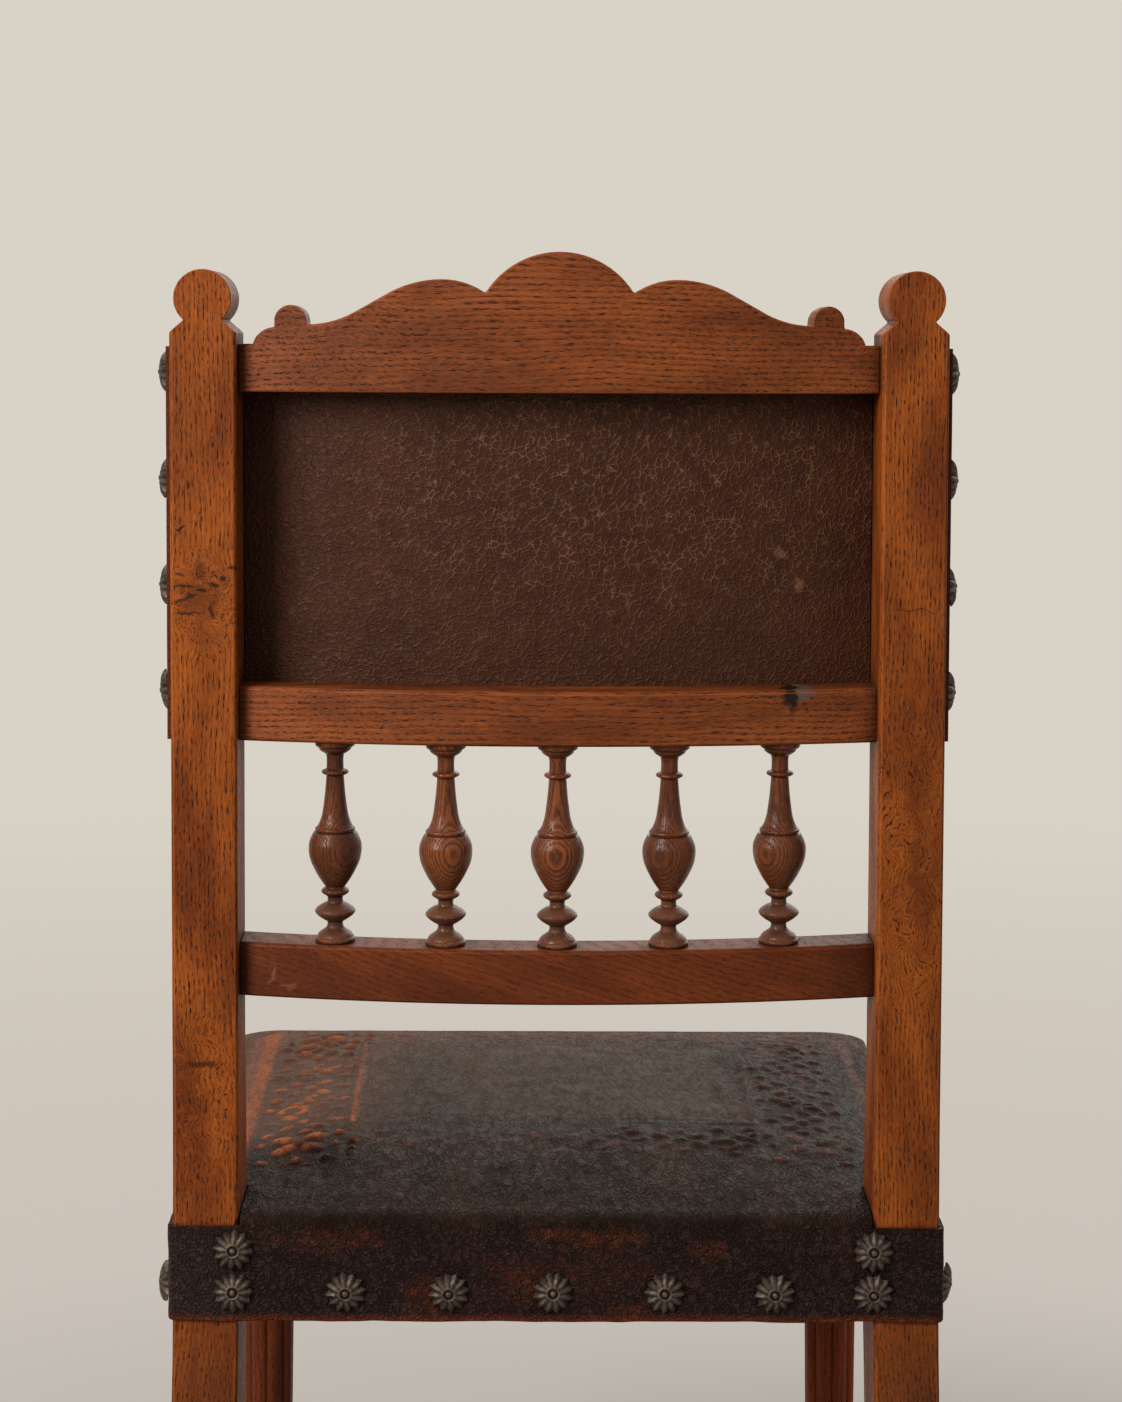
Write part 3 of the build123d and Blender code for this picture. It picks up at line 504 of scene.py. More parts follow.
def seat_hide():
    """Old embossed seat leather: charcoal, worn to red brown and orange on what stands up, with painted
    shade in its hollows and a painted sheen on the roll's side shoulders.
    """
    material, w, shader = new_material("seat_hide")
    place = w.here()
    across, forward, up = w.parts(place)
    hide = place_group(w, hide_grain, Vector=w.shift(place, (0.95, 0.33, 1.0)))
    pebble, crease, patch = (hide.outputs[name] for name in ("Pebble", "Crease", "Patch"))
    rubbed, field, strip, edge = (w.attribute(name) for name in ("rubbed", "field", "strip", "edge"))
    sunk = w.minus(up, w.times(w.minus(patch, 0.5), 0.02))
    skirt = w.rise(sunk, 0.458, 0.441)
    charcoal = w.mix(w.rise(patch, 0.35, 0.65), srgb(40, 26, 19), srgb(52, 37, 27))
    left = w.times(w.rise(across, -0.06, -0.15), w.rise(forward, -0.1, 0.0))
    charcoal = w.mix(w.times(left, 0.6), charcoal, srgb(110, 79, 62))
    charcoal = w.mix(w.times(field, 0.85), charcoal, srgb(72, 55, 39))
    charcoal = w.mix(w.rise(forward, 0.1, 0.225, 0.0, 0.45), charcoal, srgb(104, 62, 44))
    brown = w.mix(w.rise(crease, 0.4, 0.75), srgb(39, 26, 23), srgb(54, 38, 34))
    brown = w.mix(w.rise(across, -0.165, -0.178, 0.0, 0.45), brown, srgb(64, 51, 48))
    colour = w.mix(skirt, charcoal, brown)
    redness = w.times(w.rise(patch, 0.5, 0.66), 0.16)
    for x, z, width, height, strength in SKIRT_WEAR:
        spot = blot_at(w, place, (x, rear_y, z), (width, 60, height), 0.8)
        redness = w.math("MAXIMUM", redness, w.times(spot, strength))
    flaked = w.noise(place, 170.0, 4.0, 0.75)
    uneven = w.times(redness, w.rise(flaked, 0.42, 0.58, 0.3, 1.1))
    colour = w.mix(uneven, colour, srgb(92, 45, 26))
    # Painted sheen: the lighter red brown on the roll's side shoulders is partly the leather's own colour
    # and partly a sheen painted on, stronger on the left.
    colour = w.mix(w.times(strip, w.rise(crease, 0.2, 0.7, 0.5, 1.0)), colour, srgb(122, 74, 54))
    worn = w.times(rubbed, w.rise(crease, 0.3, 0.6, 0.5, 1.0))
    colour = w.mix(worn, colour, srgb(184, 96, 42))
    rough = w.times(w.rise(forward, -0.15, -0.04, 1.0, 0.3), w.rise(up, 0.55, 0.6, 1.0, 0.35))
    folds = w.times(w.rise(crease, 0.42, 0.2, 0.0, 0.4), w.rise(skirt, 0.0, 1.0, 1.0, 0.5))
    colour = w.mix(w.times(folds, rough), colour, srgb(13, 9, 8))
    pits = w.times(w.rise(pebble, 0.5, 0.0, 0.0, 0.4), rough)
    colour = w.mix(pits, colour, srgb(16, 12, 11))
    # Painted shade: darker in the hollows round the embossing and beside the nails.
    colour = w.mix(w.rise(w.open_air(0.005), 0.92, 0.45, 0.0, 0.65), colour, srgb(12, 8, 7))
    colour = w.mix(w.times(edge, 0.75), colour, srgb(116, 54, 29))
    shine = w.rise(skirt, 0.0, 1.0, 0.03, 0.07)
    w.paint(shader, colour, w.rise(crease, 0.2, 0.8, 0.62, 0.44), shine)
    depth = w.times(w.rise(field, 0.0, 1.0, 1.0, 0.45), w.rise(skirt, 0.0, 1.0, 1.0, 1.2))
    height = w.plus(w.times(pebble, 0.25), w.times(crease, 1.6))
    height = w.times(height, w.times(depth, rough))
    w.raise_surface(shader, height, 1.0, 0.0015)
    return material


def lining_cloth():
    """Dark brown leathercloth with pale hairline crackle, thickest towards the upper right."""
    material, w, shader = new_material("lining_cloth")
    place = w.here()
    hide = place_group(w, hide_grain, Vector=place)
    pebble, crease, cracks, patch, net = hide.outputs
    colour = w.mix(w.rise(patch, 0.3, 0.7), srgb(63, 34, 21), srgb(72, 39, 25))
    colour = w.mix(w.rise(crease, 0.45, 0.25, 0.0, 0.4), colour, srgb(38, 21, 15))
    zone = blot_at(w, place, (40, -150, 860), (190, 300, 105), 0.5)
    thick = w.plus(w.times(zone, 0.32), 0.12)
    colour = w.mix(w.times(cracks, thick), colour, srgb(158, 116, 80))
    for chip in ((123, -150, 819), (132, -150, 801)):
        spot = blot_at(w, place, chip, (4, 60, 5), 1.0)
        colour = w.mix(w.times(spot, 0.6), colour, srgb(128, 86, 62))
    w.paint(shader, colour, w.rise(crease, 0.2, 0.8, 0.5, 0.4), 0.13)
    height = w.plus(w.times(pebble, 0.1), w.times(crease, 0.4))
    height = w.plus(height, w.times(net, 0.42))
    w.raise_surface(shader, height, 1.0, 0.0007)
    return material


def nail_metal():
    """Dull bronze, dark in the grooves between the petals."""
    material, w, shader = new_material("nail_metal")
    spots = w.noise(w.here(), 420.0, 4.0, 0.65)
    colour = w.mix(w.rise(spots, 0.35, 0.68), srgb(72, 60, 52), srgb(112, 96, 84))
    colour = w.mix(w.times(w.attribute("groove"), 0.92), colour, srgb(26, 20, 17))
    w.paint(shader, colour, w.rise(spots, 0.3, 0.7, 0.42, 0.62))
    shader.inputs["Metallic"].default_value = 0.75
    w.raise_surface(shader, spots, 0.3, 0.0004)
    return material


def woven(name, thread, light, dark, stripe=None):
    """Coarse plain weave along X and Y, with an optional stripe colour."""
    material, w, shader = new_material(name)
    place = w.here()
    level = w.parts(w.bend_along(place, 60.0, 0.0012))[:2]
    turns = 2 * pi / (thread * METRE)
    warp, weft = (w.math("SINE", w.times(part, turns)) for part in level)
    weave = w.rise(w.times(warp, weft), -0.9, 0.9)
    soiled = w.noise(place, 90.0, 4.0, 0.6)
    colour = w.mix(weave, dark, light)
    colour = w.mix(w.rise(soiled, 0.4, 0.7, 0.0, 0.5), colour, dark)
    if stripe:
        striped = w.rise(w.attribute("stripe"), 0.3, 0.7)
        colour = w.mix(striped, colour, stripe)
    w.paint(shader, colour, w.rise(soiled, 0.2, 0.8, 0.8, 0.95))
    w.raise_surface(shader, weave, 0.6, 0.0006)
    return material


seat_leather = seat_hide()
lining_leather = lining_cloth()
bronze = nail_metal()
hessian_cloth = woven("hessian_cloth", 2.4, srgb(150, 120, 82), srgb(86, 64, 40))
webbing_cloth = woven("webbing_cloth", 1.6, srgb(146, 118, 84), srgb(84, 64, 44), srgb(104, 58, 40))


# Making pieces
def add_object(name, data):
    """A new object in the scene."""
    made = bpy.data.objects.new(name, data)
    bpy.context.scene.collection.objects.link(made)
    return made


def face_outward(bm):
    bmesh.ops.recalc_face_normals(bm, faces=bm.faces)


def finish_piece(bm, name, material, slot, *nodes, sharp=38.0):
    """Turn a bmesh in millimetres into a piece of the chair that stands for the nodes."""
    bmesh.ops.scale(bm, vec=(METRE, METRE, METRE), verts=bm.verts)
    mesh = bpy.data.meshes.new(name)
    bm.to_mesh(mesh)
    bm.free()
    mesh.polygons.foreach_set("use_smooth", [True] * len(mesh.polygons))
    mesh.set_sharp_from_angle(angle=radians(sharp))
    mesh.materials.append(material)
    piece = add_object(name, mesh)
    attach(piece, "root")
    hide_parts(*nodes)
    return piece


def round_edges(bm, edges, offset, segments):
    """Round the edges over; gives the new faces."""
    made = bmesh.ops.bevel(
        bm,
        geom=edges,
        offset=offset,
        offset_type="OFFSET",
        segments=segments,
        profile=0.5,
        affect="EDGES",
        material=-1,
    )
    return made["faces"]


def eased(node, material, width, segments=2):
    """A copy of an oak solid with its long edges rounded over by wear."""
    bm = bmesh.new()
    bm.from_mesh(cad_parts[node].data)
    bmesh.ops.scale(bm, vec=(1 / METRE, 1 / METRE, 1 / METRE), verts=bm.verts)
    bmesh.ops.remove_doubles(bm, verts=bm.verts, dist=0.002)
    bmesh.ops.dissolve_limit(bm, angle_limit=radians(0.6), verts=bm.verts, edges=bm.edges)
    smallest_face = 30.0
    smallest_angle = radians(25)
    edges = [
        e
        for e in bm.edges
        if len(e.link_faces) == 2
        and e.calc_face_angle(0) > smallest_angle
        and min(f.calc_area() for f in e.link_faces) > smallest_face
    ]
    rounded = set(round_edges(bm, edges, width, segments))
    arris = bm.verts.layers.float.new("arris")
    for vert in bm.verts:
        vert[arris] = 1.0 if all(face in rounded for face in vert.link_faces) else 0.0
    piece = finish_piece(bm, node + "_eased", material, "oak", node, sharp=60.0)
    flat = piece.modifiers.new("flat faces", "WEIGHTED_NORMAL")
    flat.keep_sharp = True
    return piece


def smooth_strokes(strokes, cuts=3):
    """Points along strokes that are rounded through their own points and meet at corners."""
    points = []
    for stroke in strokes:
        last = len(stroke) - 1
        for i in range(last):
            before, start, end, after = (Vector(stroke[min(max(k, 0), last)]) for k in range(i - 1, i + 3))
            for cut in range(cuts):
                t = cut / cuts
                bend = (end - before) * t + (2 * before - 5 * start + 4 * end - after) * t**2
                bend += (3 * start - before - 3 * end + after) * t**3
                points.append(start + bend / 2)
        points.append(Vector(stroke[last]))
    return points


def turn_on_lathe(bm, strokes, place, steps=40):
    """Spin a profile of radius and height about its axis and set the turning in place."""
    verts = [bm.verts.new((p.x, 0, p.y)) for p in smooth_strokes(strokes)]
    edges = [bm.edges.new(pair) for pair in zip(verts, verts[1:])]
    bmesh.ops.spin(
        bm,
        geom=verts + edges,
        cent=(0, 0, 0),
        axis=(0, 0, 1),
        angle=2 * pi,
        steps=steps,
        use_merge=True,
    )
    bmesh.ops.remove_doubles(bm, verts=[v for v in bm.verts if not v.tag], dist=0.0005)
    turned = [v for v in bm.verts if not v.tag]
    bmesh.ops.transform(bm, matrix=place, verts=turned)
    for v in turned:
        v.tag = True
    face_outward(bm)


def standing_on(origin, up, across):
    """Matrix that stands a turning on a point, along a direction."""
    side = up.cross(across).normalized()
    turn = Matrix((across, side, up)).transposed().to_4x4()
    return Matrix.Translation(origin) @ turn


def draped_grid(bm, columns, rows, place):
    """A grid with each point put in place from its shares across and up; gives the points in rows."""
    made = bmesh.ops.create_grid(bm, x_segments=columns, y_segments=rows, size=1.0)["verts"]
    for index, vert in enumerate(made):
        row, column = divmod(index, columns + 1)
        vert.co = place(column, row)
    return made


# Turned spindles of the back; strokes are lists of radius and height
spindle_strokes = [
    [(0.0, 0.0), (10.6, 0.0)],
    [(10.6, 0.0), (11.0, 0.8), (11.0, 1.9), (10.4, 2.6)],
    [(10.0, 3.0), (9.4, 4.2), (8.2, 5.4), (6.4, 6.6), (4.9, 7.8), (4.3, 9.4), (4.3, 11.0)],
    [(4.9, 11.4), (6.9, 12.6), (9.3, 14.3), (10.8, 15.9), (11.1, 16.8)]
    + [(10.8, 17.7), (9.3, 19.2), (6.5, 21.0)],
    [(4.6, 21.6), (4.2, 22.6), (4.2, 24.6)],
    [(5.0, 25.4), (7.0, 26.6), (7.7, 27.8), (7.0, 29.0), (5.6, 29.9), (5.4, 30.5)],
    [(5.7, 30.8), (7.8, 33.8), (9.8, 37.0), (11.5, 40.3), (13.0, 43.5), (14.1, 47.0), (14.6, 51.0)],
    [(14.6, 51.0), (14.4, 54.2), (13.4, 57.4), (11.8, 60.6)],
    [(10.3, 60.9), (10.3, 61.4)],
    [(10.8, 61.6), (11.0, 62.3), (10.8, 63.0)],
    [(10.2, 63.3), (8.9, 65.3), (7.9, 67.8), (7.0, 71.2), (6.3, 76.1), (5.5, 82.6), (4.8, 91.6)],
    [(5.6, 92.2), (7.1, 93.0), (7.4, 93.8), (6.8, 94.7), (5.2, 95.3)],
    [(4.7, 95.6), (4.6, 98.0), (4.6, 101.4), (4.9, 103.4)],
    [(5.6, 104.0), (7.2, 105.0), (8.6, 106.2), (9.0, 107.4)],
    [(9.8, 107.7), (10.7, 108.4), (11.0, 109.4), (11.0, 111.0)],
    [(11.0, 111.0), (0.0, 111.0)],
]
for number in range(1, 6):
    x = (number - 3) * spindle_pitch
    foot = back_point(x, bow_depth(x, rail_thickness / 2), lower_rail_high)
    bm = bmesh.new()
    turn = chance.uniform(0, 2 * pi)
    across = Vector((cos(turn), sin(turn) * cos(rake), sin(turn) * sin(rake)))
    turn_on_lathe(bm, spindle_strokes, standing_on(foot, back_up, across))
    finish_piece(bm, f"spindle_{number}", oak_turned, "oak", f"back_spindle_{number}", sharp=32.0)

# Front legs: turned foot, square stretcher block, reeded shaft, turned neck and square seat block
front_leg_x = 196.18
front_leg_y = 207.75
block_low = 376.0
seat_block = front_block - 0.4
seat_block_corner = 15.0
stretcher_block = 38.0
stretcher_block_low = 103.0
stretcher_block_high = 161.0
shaft_low = 185.0
shaft_high = 344.0
shaft_foot_radius = 17.0
shaft_top_radius = 18.6
reeds = 8
reed_depth = 2.6
foot_strokes = [
    [(0.0, 0.0), (13.4, 0.0)],
    [(13.4, 0.0), (15.0, 2.0), (15.2, 5.0), (14.2, 7.6)],
    [(13.2, 8.0), (11.6, 11.0), (11.5, 14.0)],
    [(12.4, 16.0), (15.6, 26.0), (17.8, 38.0), (17.8, 46.0), (16.0, 60.0), (13.4, 72.0), (12.8, 82.0)],
    [(14.6, 84.0), (17.2, 87.0), (17.4, 91.0), (15.6, 95.0)],
    [(14.0, 96.0), (13.6, 104.0)],
    [(13.6, 104.0), (0.0, 104.0)],
]
ring_strokes = [
    [(0.0, 160.0), (13.6, 160.0)],
    [(13.6, 160.0), (14.2, 165.0), (17.0, 168.0), (17.5, 170.5), (16.4, 173.4), (14.4, 175.6)],
    [(14.0, 176.0), (14.0, 181.0)],
    [(15.2, 182.0), (17.2, 184.0), (17.4, 186.6)],
    [(17.4, 186.6), (0.0, 186.6)],
]
neck_strokes = [
    [(0.0, 342.6), (18.4, 342.6)],
    [(18.4, 342.6), (19.6, 344.6), (20.0, 347.4), (19.4, 350.4)],
    [(18.2, 351.0), (15.6, 354.0), (15.0, 358.0), (15.4, 362.0), (17.6, 366.0)],
    [(18.4, 366.6), (20.0, 369.4), (19.8, 372.6), (18.6, 375.0)],
    [(18.0, 375.4), (18.0, 377.0)],
    [(18.0, 377.0), (0.0, 377.0)],
]


def square_block(bm, centre, size, low, high, round_over, corner=0.0):
    """A square block of a leg with rounded edges, and if asked a rounder outer front corner."""
    made = bmesh.ops.create_cube(bm, size=1.0)["verts"]
    bmesh.ops.scale(bm, vec=(size, size, high - low), verts=made)
    bmesh.ops.translate(bm, vec=(centre.x, centre.y, (low + high) / 2), verts=made)
    edges = {e for v in made for e in v.link_edges}
    if corner:
        outer = [v for v in made if v.co.y > centre.y and abs(v.co.x) > abs(centre.x)]
        upright = [e for e in edges if e.verts[0] in outer and e.verts[1] in outer]
        round_edges(bm, upright, corner, 6)
        edges = {e for e in bm.edges if e.calc_face_angle(0) > 1.0 and low < e.verts[0].co.z + 1 < high + 2}
        edges = {e for e in edges if (e.verts[0].co.xy - centre.xy).length > size / 2 - 0.1}
    round_edges(bm, list(edges), round_over, 3)


def reeded_shaft(bm, centre):
    """The tapered shaft, with convex reeds that run out in rounded ends."""
    columns, rows = reeds * 12, 26
    run_out = 0.05

    def place(column, row):
        share = row / rows
        radius = shaft_foot_radius + (shaft_top_radius - shaft_foot_radius) * share
        fade = step(0.0, run_out, share) * step(1.0, 1 - run_out, share)
        turn = 2 * pi * column / columns
        wave = abs(sin(turn * reeds / 2))
        reach = radius - reed_depth * fade * (1 - wave**0.65)
        z = shaft_low + (shaft_high - shaft_low) * share
        return (centre.x + reach * cos(turn), centre.y + reach * sin(turn), z)

    made = draped_grid(bm, columns, rows, place)
    bmesh.ops.remove_doubles(bm, verts=made, dist=0.001)


for side, hand in ((-1, "left"), (1, "right")):
    centre = Vector((side * front_leg_x, front_leg_y, 0))
    bm = bmesh.new()
    square_block(bm, centre, seat_block, block_low, frame_top, 1.2, seat_block_corner)
    square_block(bm, centre, stretcher_block, stretcher_block_low, stretcher_block_high, 1.8)
    for v in bm.verts:
        v.tag = True
    for strokes in (foot_strokes, ring_strokes, neck_strokes):
        turn_on_lathe(bm, strokes, Matrix.Translation(centre), steps=56)
    reeded_shaft(bm, centre)
    face_outward(bm)
    finish_piece(bm, f"front_leg_{hand}_turned", oak_front[hand], "oak", f"front_leg_{hand}", sharp=32.0)

# Cross stretcher: strokes from its middle to one end
half_stretch = [
    [(14.9, 0.0), (14.6, 8.0), (13.4, 17.0), (11.4, 27.0), (8.2, 41.0)],
    [(9.0, 42.2), (11.6, 44.4), (11.6, 47.0), (9.0, 49.4)],
    [(8.2, 50.0), (9.4, 100.0), (10.8, 153.0)],
    [(11.6, 154.2), (13.4, 157.0), (13.2, 160.4), (11.0, 163.4)],
    [(9.6, 164.4), (9.4, 172.0), (9.4, 184.5)],
]
cross_low, cross_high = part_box("cross_stretcher")
cross_middle = (cross_low + cross_high) / 2 / METRE
along_cross = standing_on(cross_middle, Vector((1, 0, 0)), Vector((0, 1, 0)))
bm = bmesh.new()
mirrored = [[(radius, -along) for radius, along in reversed(stroke)] for stroke in reversed(half_stretch)]
turn_on_lathe(bm, mirrored + half_stretch, along_cross, steps=44)
finish_piece(bm, "cross_stretcher_turned", oak_lower, "oak", "cross_stretcher", sharp=32.0)

# Sawn pieces keep their solid's shape, with worn edges
fine_ease = 0.6
seat_ease = 0.8
crest_ease = 1.1
for hand in ("left", "right"):
    eased(f"rear_leg_{hand}", oak_upright, fine_ease)
    eased(f"{hand}_stretcher", oak_side, fine_ease)
    eased(f"{hand}_seat_rail", oak_side, seat_ease)
    for end in ("front", "rear"):
        eased(f"corner_block_{end}_{hand}", oak_side, fine_ease)
eased("crest_rail", oak_rail, crest_ease, 3)
eased("middle_back_rail", oak_rail, fine_ease)
eased("lower_back_rail", oak_lower, fine_ease)
eased("front_seat_rail", oak_rail, seat_ease)
eased("rear_seat_rail", oak_rail, seat_ease)

# Daisy-headed nails
nail_radius = 11.4
petals = 12
nail_z = hem_z + 14.0
nail_pitch = 59.0
pair_x = half_span + 2.5
pair_rise = 23.0
pair_drift = 3.0
first_side_nail = 20.0
crooked_out = 2.2
crooked_inset = 16.0
back_nail_inset = 23.0
back_side_pitch = 58.0
back_side_middle = (cover_low + cover_high) / 2 + 6.0
back_row_inset = 11.0
back_side_lift = 0.8
back_row_lift = 0.45
pull_spread = 150.0
pull_reach = 30.0


def skin_x(y, out):
    """A line the given distance outside the seat frame's widening side."""
    return half_back + (y - rear_y) * side_slope + out * sqrt(1 + side_slope**2)


def nail_row(count, pitch):
    """Evenly spaced places about the middle of a row."""
    return [(i - (count - 1) / 2) * pitch for i in range(count)]


# Where the nails stand and the way they face: the rear row has drifted, and each side has a crooked one
rear_drift = (3.0, 0.5, -1.6, 0.5, 1.6)
rear_places = [(x + drift, 0.0) for x, drift in zip(nail_row(5, nail_pitch), rear_drift)]
rear_places += [(x, rise) for x in (-pair_x, pair_x - pair_drift) for rise in (0.0, pair_rise)]
side_pitch = (front_y - rear_y - 2 * first_side_nail) / 6
seat_nails = {
    "seat_nails_rear": [
        (Vector((x, rear_y - leather, nail_z + rise)), Vector((0, -1, 0))) for x, rise in rear_places
    ],
    "seat_nails_front": [
        (Vector((x, front_y + leather, nail_z)), Vector((0, 1, 0))) for x in nail_row(7, nail_pitch)
    ],
}
for side, hand in ((-1, "left"), (1, "right")):
    row = seat_nails[f"seat_nails_{hand}"] = []
    for i in range(1, 7):
        y = rear_y + first_side_nail + i * side_pitch
        place = Vector((side * skin_x(y, leather), y, nail_z))
        row.append((place, Vector((side, -side_slope, 0)).normalized()))
    crooked_x = skin_x(rear_y, leather) + crooked_out
    crooked = Vector((side * crooked_x, rear_y + crooked_inset, nail_z))
    row.append((crooked, Vector((side, -0.3, 0)).normalized()))
back_nails = {}
for side, hand in ((-1, "left"), (1, "right")):
    x = side * (half_back + leather + back_side_lift)
    depth = stile_depth - back_nail_inset
    back_nails[f"back_nails_{hand}"] = [
        (back_point(x, depth, back_side_middle + rise), Vector((side, -0.15, 0)))
        for rise in nail_row(4, back_side_pitch)
    ]
for row, height in (("top", cover_high - back_row_inset), ("bottom", cover_low + back_row_inset)):
    back_nails[f"back_nails_{row}"] = []
    for x in nail_row(6, nail_pitch):
        depth = bow_depth(x, cover_offset + leather + back_row_lift)
        facing = Vector((-x, 0, 0)) + back_forward * (bow_centre - depth)
        back_nails[f"back_nails_{row}"].append((back_point(x, depth, height), facing.normalized()))


def daisy(bm, groove):
    """One nail head, standing on the origin: pointed, ridged petals round a ringed boss."""
    steps = 8
    segments = petals * steps
    # Rings from the boss to the rim: share of the radius, height, fold of the petals and darkness
    rings = (
        (0.04, 4.9, 0.0, 0.0),
        (0.09, 4.7, 0.0, 0.0),
        (0.14, 4.1, 0.0, 0.15),
        (0.17, 3.2, 0.0, 1.0),
        (0.215, 3.15, 0.0, 1.0),
        (0.25, 4.1, 0.0, 0.25),
        (0.30, 4.3, 0.0, 0.0),
        (0.37, 3.95, 0.05, 0.3),
        (0.46, 3.75, 0.3, 0.15),
        (0.60, 3.3, 0.6, 0.1),
        (0.74, 2.6, 0.85, 0.1),
        (0.88, 1.6, 0.9, 0.1),
        (0.97, 0.85, 0.6, 0.15),
        (1.00, 0.5, 0.20, 0.3),
        (0.98, 0.02, 0.0, 0.8),
    )
    made = bmesh.ops.create_grid(bm, x_segments=segments, y_segments=len(rings) - 1, size=1.0)["verts"]
    for index, vert in enumerate(made):
        row, column = divmod(index, segments + 1)
        share, height, fold, shade = rings[row]
        turn = 2 * pi * column / segments
        crest = abs(((column / steps) % 1.0) * 2 - 1)
        point = 1 - step(0.5, 1.0, share) * 0.2 * (1 - crest) ** 0.8
        reach = nail_radius * share * point
        vert.co = (reach * cos(turn), reach * sin(turn), max(0.02, height + fold * (crest - 0.6) * 1.3))
        vert[groove] = min(1.0, shade + ((1 - crest) ** 2.2 if share > 0.34 else 0.0))
    bmesh.ops.remove_doubles(bm, verts=made, dist=0.0005)
    head = [v for v in bm.verts if not v.tag]
    inner = [v for v in head if v.co.xy.length < nail_radius * 0.045]
    bmesh.ops.contextual_create(bm, geom=inner)
    for v in head:
        v.tag = True
    return head


def nail_piece(node, places):
    """All the nails of one row as one piece, each turned its own way."""
    bm = bmesh.new()
    groove = bm.verts.layers.float.new("groove")
    for origin, facing in places:
        head = daisy(bm, groove)
        upright = Vector((0, 0, 1)) if abs(facing.z) < 0.9 else Vector((1, 0, 0))
        across = facing.cross(upright).normalized()
        tilt = Matrix.Rotation(chance.uniform(-0.11, 0.11), 4, "X")
        tilt = tilt @ Matrix.Rotation(chance.uniform(0, pi), 4, "Z")
        stand = standing_on(origin, facing.normalized(), across)
        bmesh.ops.transform(bm, matrix=stand @ tilt, verts=head)
    face_outward(bm)
    finish_piece(bm, node + "_daisies", bronze, "nails", node, sharp=34.0)


for node, places in {**seat_nails, **back_nails}.items():
    nail_piece(node, places)

# Seat leather: a skirt, a rolled edge and a crowned top with an embossed border
skirt_foot = 402.5
hem_drop = 2.4
hem_inset = 2.3
hem_inside_high = 428.0
seat_roll = 7.0
roll_reach = 15.0
seat_crown = 10.0
crown_run = 115.0
front_rise = 7.0
front_corner = 18.5
rear_corner = 4.0
middle_y = (rear_y + front_y) / 2

# The border frames a plain field; its rear band lies well in from the edge. Insets: outer line, inner line
side_band = (34.0, 94.0)
rear_band = (76.0, 148.0)
front_band = (11.0, 73.0)
band_room = 3.0
legs_clear = 70.0
motif_pitch = 74.0
side_motif_shift = 24.0
flower_size = 20.0
flower_room = 21.0
line_gap = 8.0


def leaf(a, b, x, y, length, width, turn):
    """Height of one raised leaf of the border at a point."""
    dx, dy = a - x, b - y
    along = (dx * cos(turn) + dy * sin(turn)) / length
    across = (dy * cos(turn) - dx * sin(turn)) / width
    return step(1.0, 0.5, hypot(along, across))


def scroll(a, b, x, y, radius, opening):
    """Height of a raised C-shaped scroll that opens in a direction."""
    dx, dy = a - x, b - y
    turn = (atan2(dy, dx) - opening + pi) % (2 * pi) - pi
    return step(2.8, 1.2, abs(hypot(dx, dy) - radius)) * step(0.55, 0.85, abs(turn))


def rosette(a, b, x, y, size):
    """Height of a flower of four broad petals round a boss."""
    around_boss = max(
        leaf(a, b, x + size * 0.62 * cos(turn), y + size * 0.62 * sin(turn), size * 0.52, size * 0.34, turn)
        for turn in (0.75, 2.3, 3.9, 5.45)
    )
    return max(around_boss, leaf(a, b, x, y, size * 0.2, size * 0.2, 0))


# Leaves and berries of the border's repeat: place, half length, half width and turn
SPRIG = (
    (0.0, 0.0, 5.0, 4.6, 0.0),
    (-11.0, 8.5, 7.6, 4.8, 2.5),
    (11.0, 8.0, 7.4, 4.8, 0.6),
    (-10.0, -10.0, 7.2, 4.6, 0.7),
    (11.5, -9.5, 7.4, 4.8, -0.6),
    (0.5, 19.0, 5.6, 4.4, 1.5),
    (1.0, -20.0, 5.4, 4.4, 1.6),
    (-24.0, -20.0, 4.6, 4.4, 0.0),
    (-36.0, -7.0, 5.2, 4.6, 0.9),
    (36.0, 8.0, 5.2, 4.6, 0.8),
    (24.0, 20.0, 4.6, 4.4, 0.0),
    (-31.0, 23.0, 4.2, 4.0, 0.0),
    (31.0, -23.0, 4.2, 4.0, 0.0),
)


def motif(a, b):
    """Height of the border's repeat: a sprig of leaves, two scrolls and scattered berries."""
    shapes = [leaf(a, b, *shape) for shape in SPRIG]
    shapes += [scroll(a, b, -27.0, 7.0, 7.4, 0.4), scroll(a, b, 26.0, -8.0, 7.4, 3.5)]
    return max(shapes)


def insets_at(x, y):
    """Distances in from the leather's edges: to the nearer side, the rear and the front."""
    return skin_x(y, leather) - abs(x), y - rear_y + leather, front_y + leather - y


def on_side_band(side, rear):
    """Whether a point lies on a side band of the border, clear of the rear legs."""
    return side < side_band[1] + band_room and rear > legs_clear


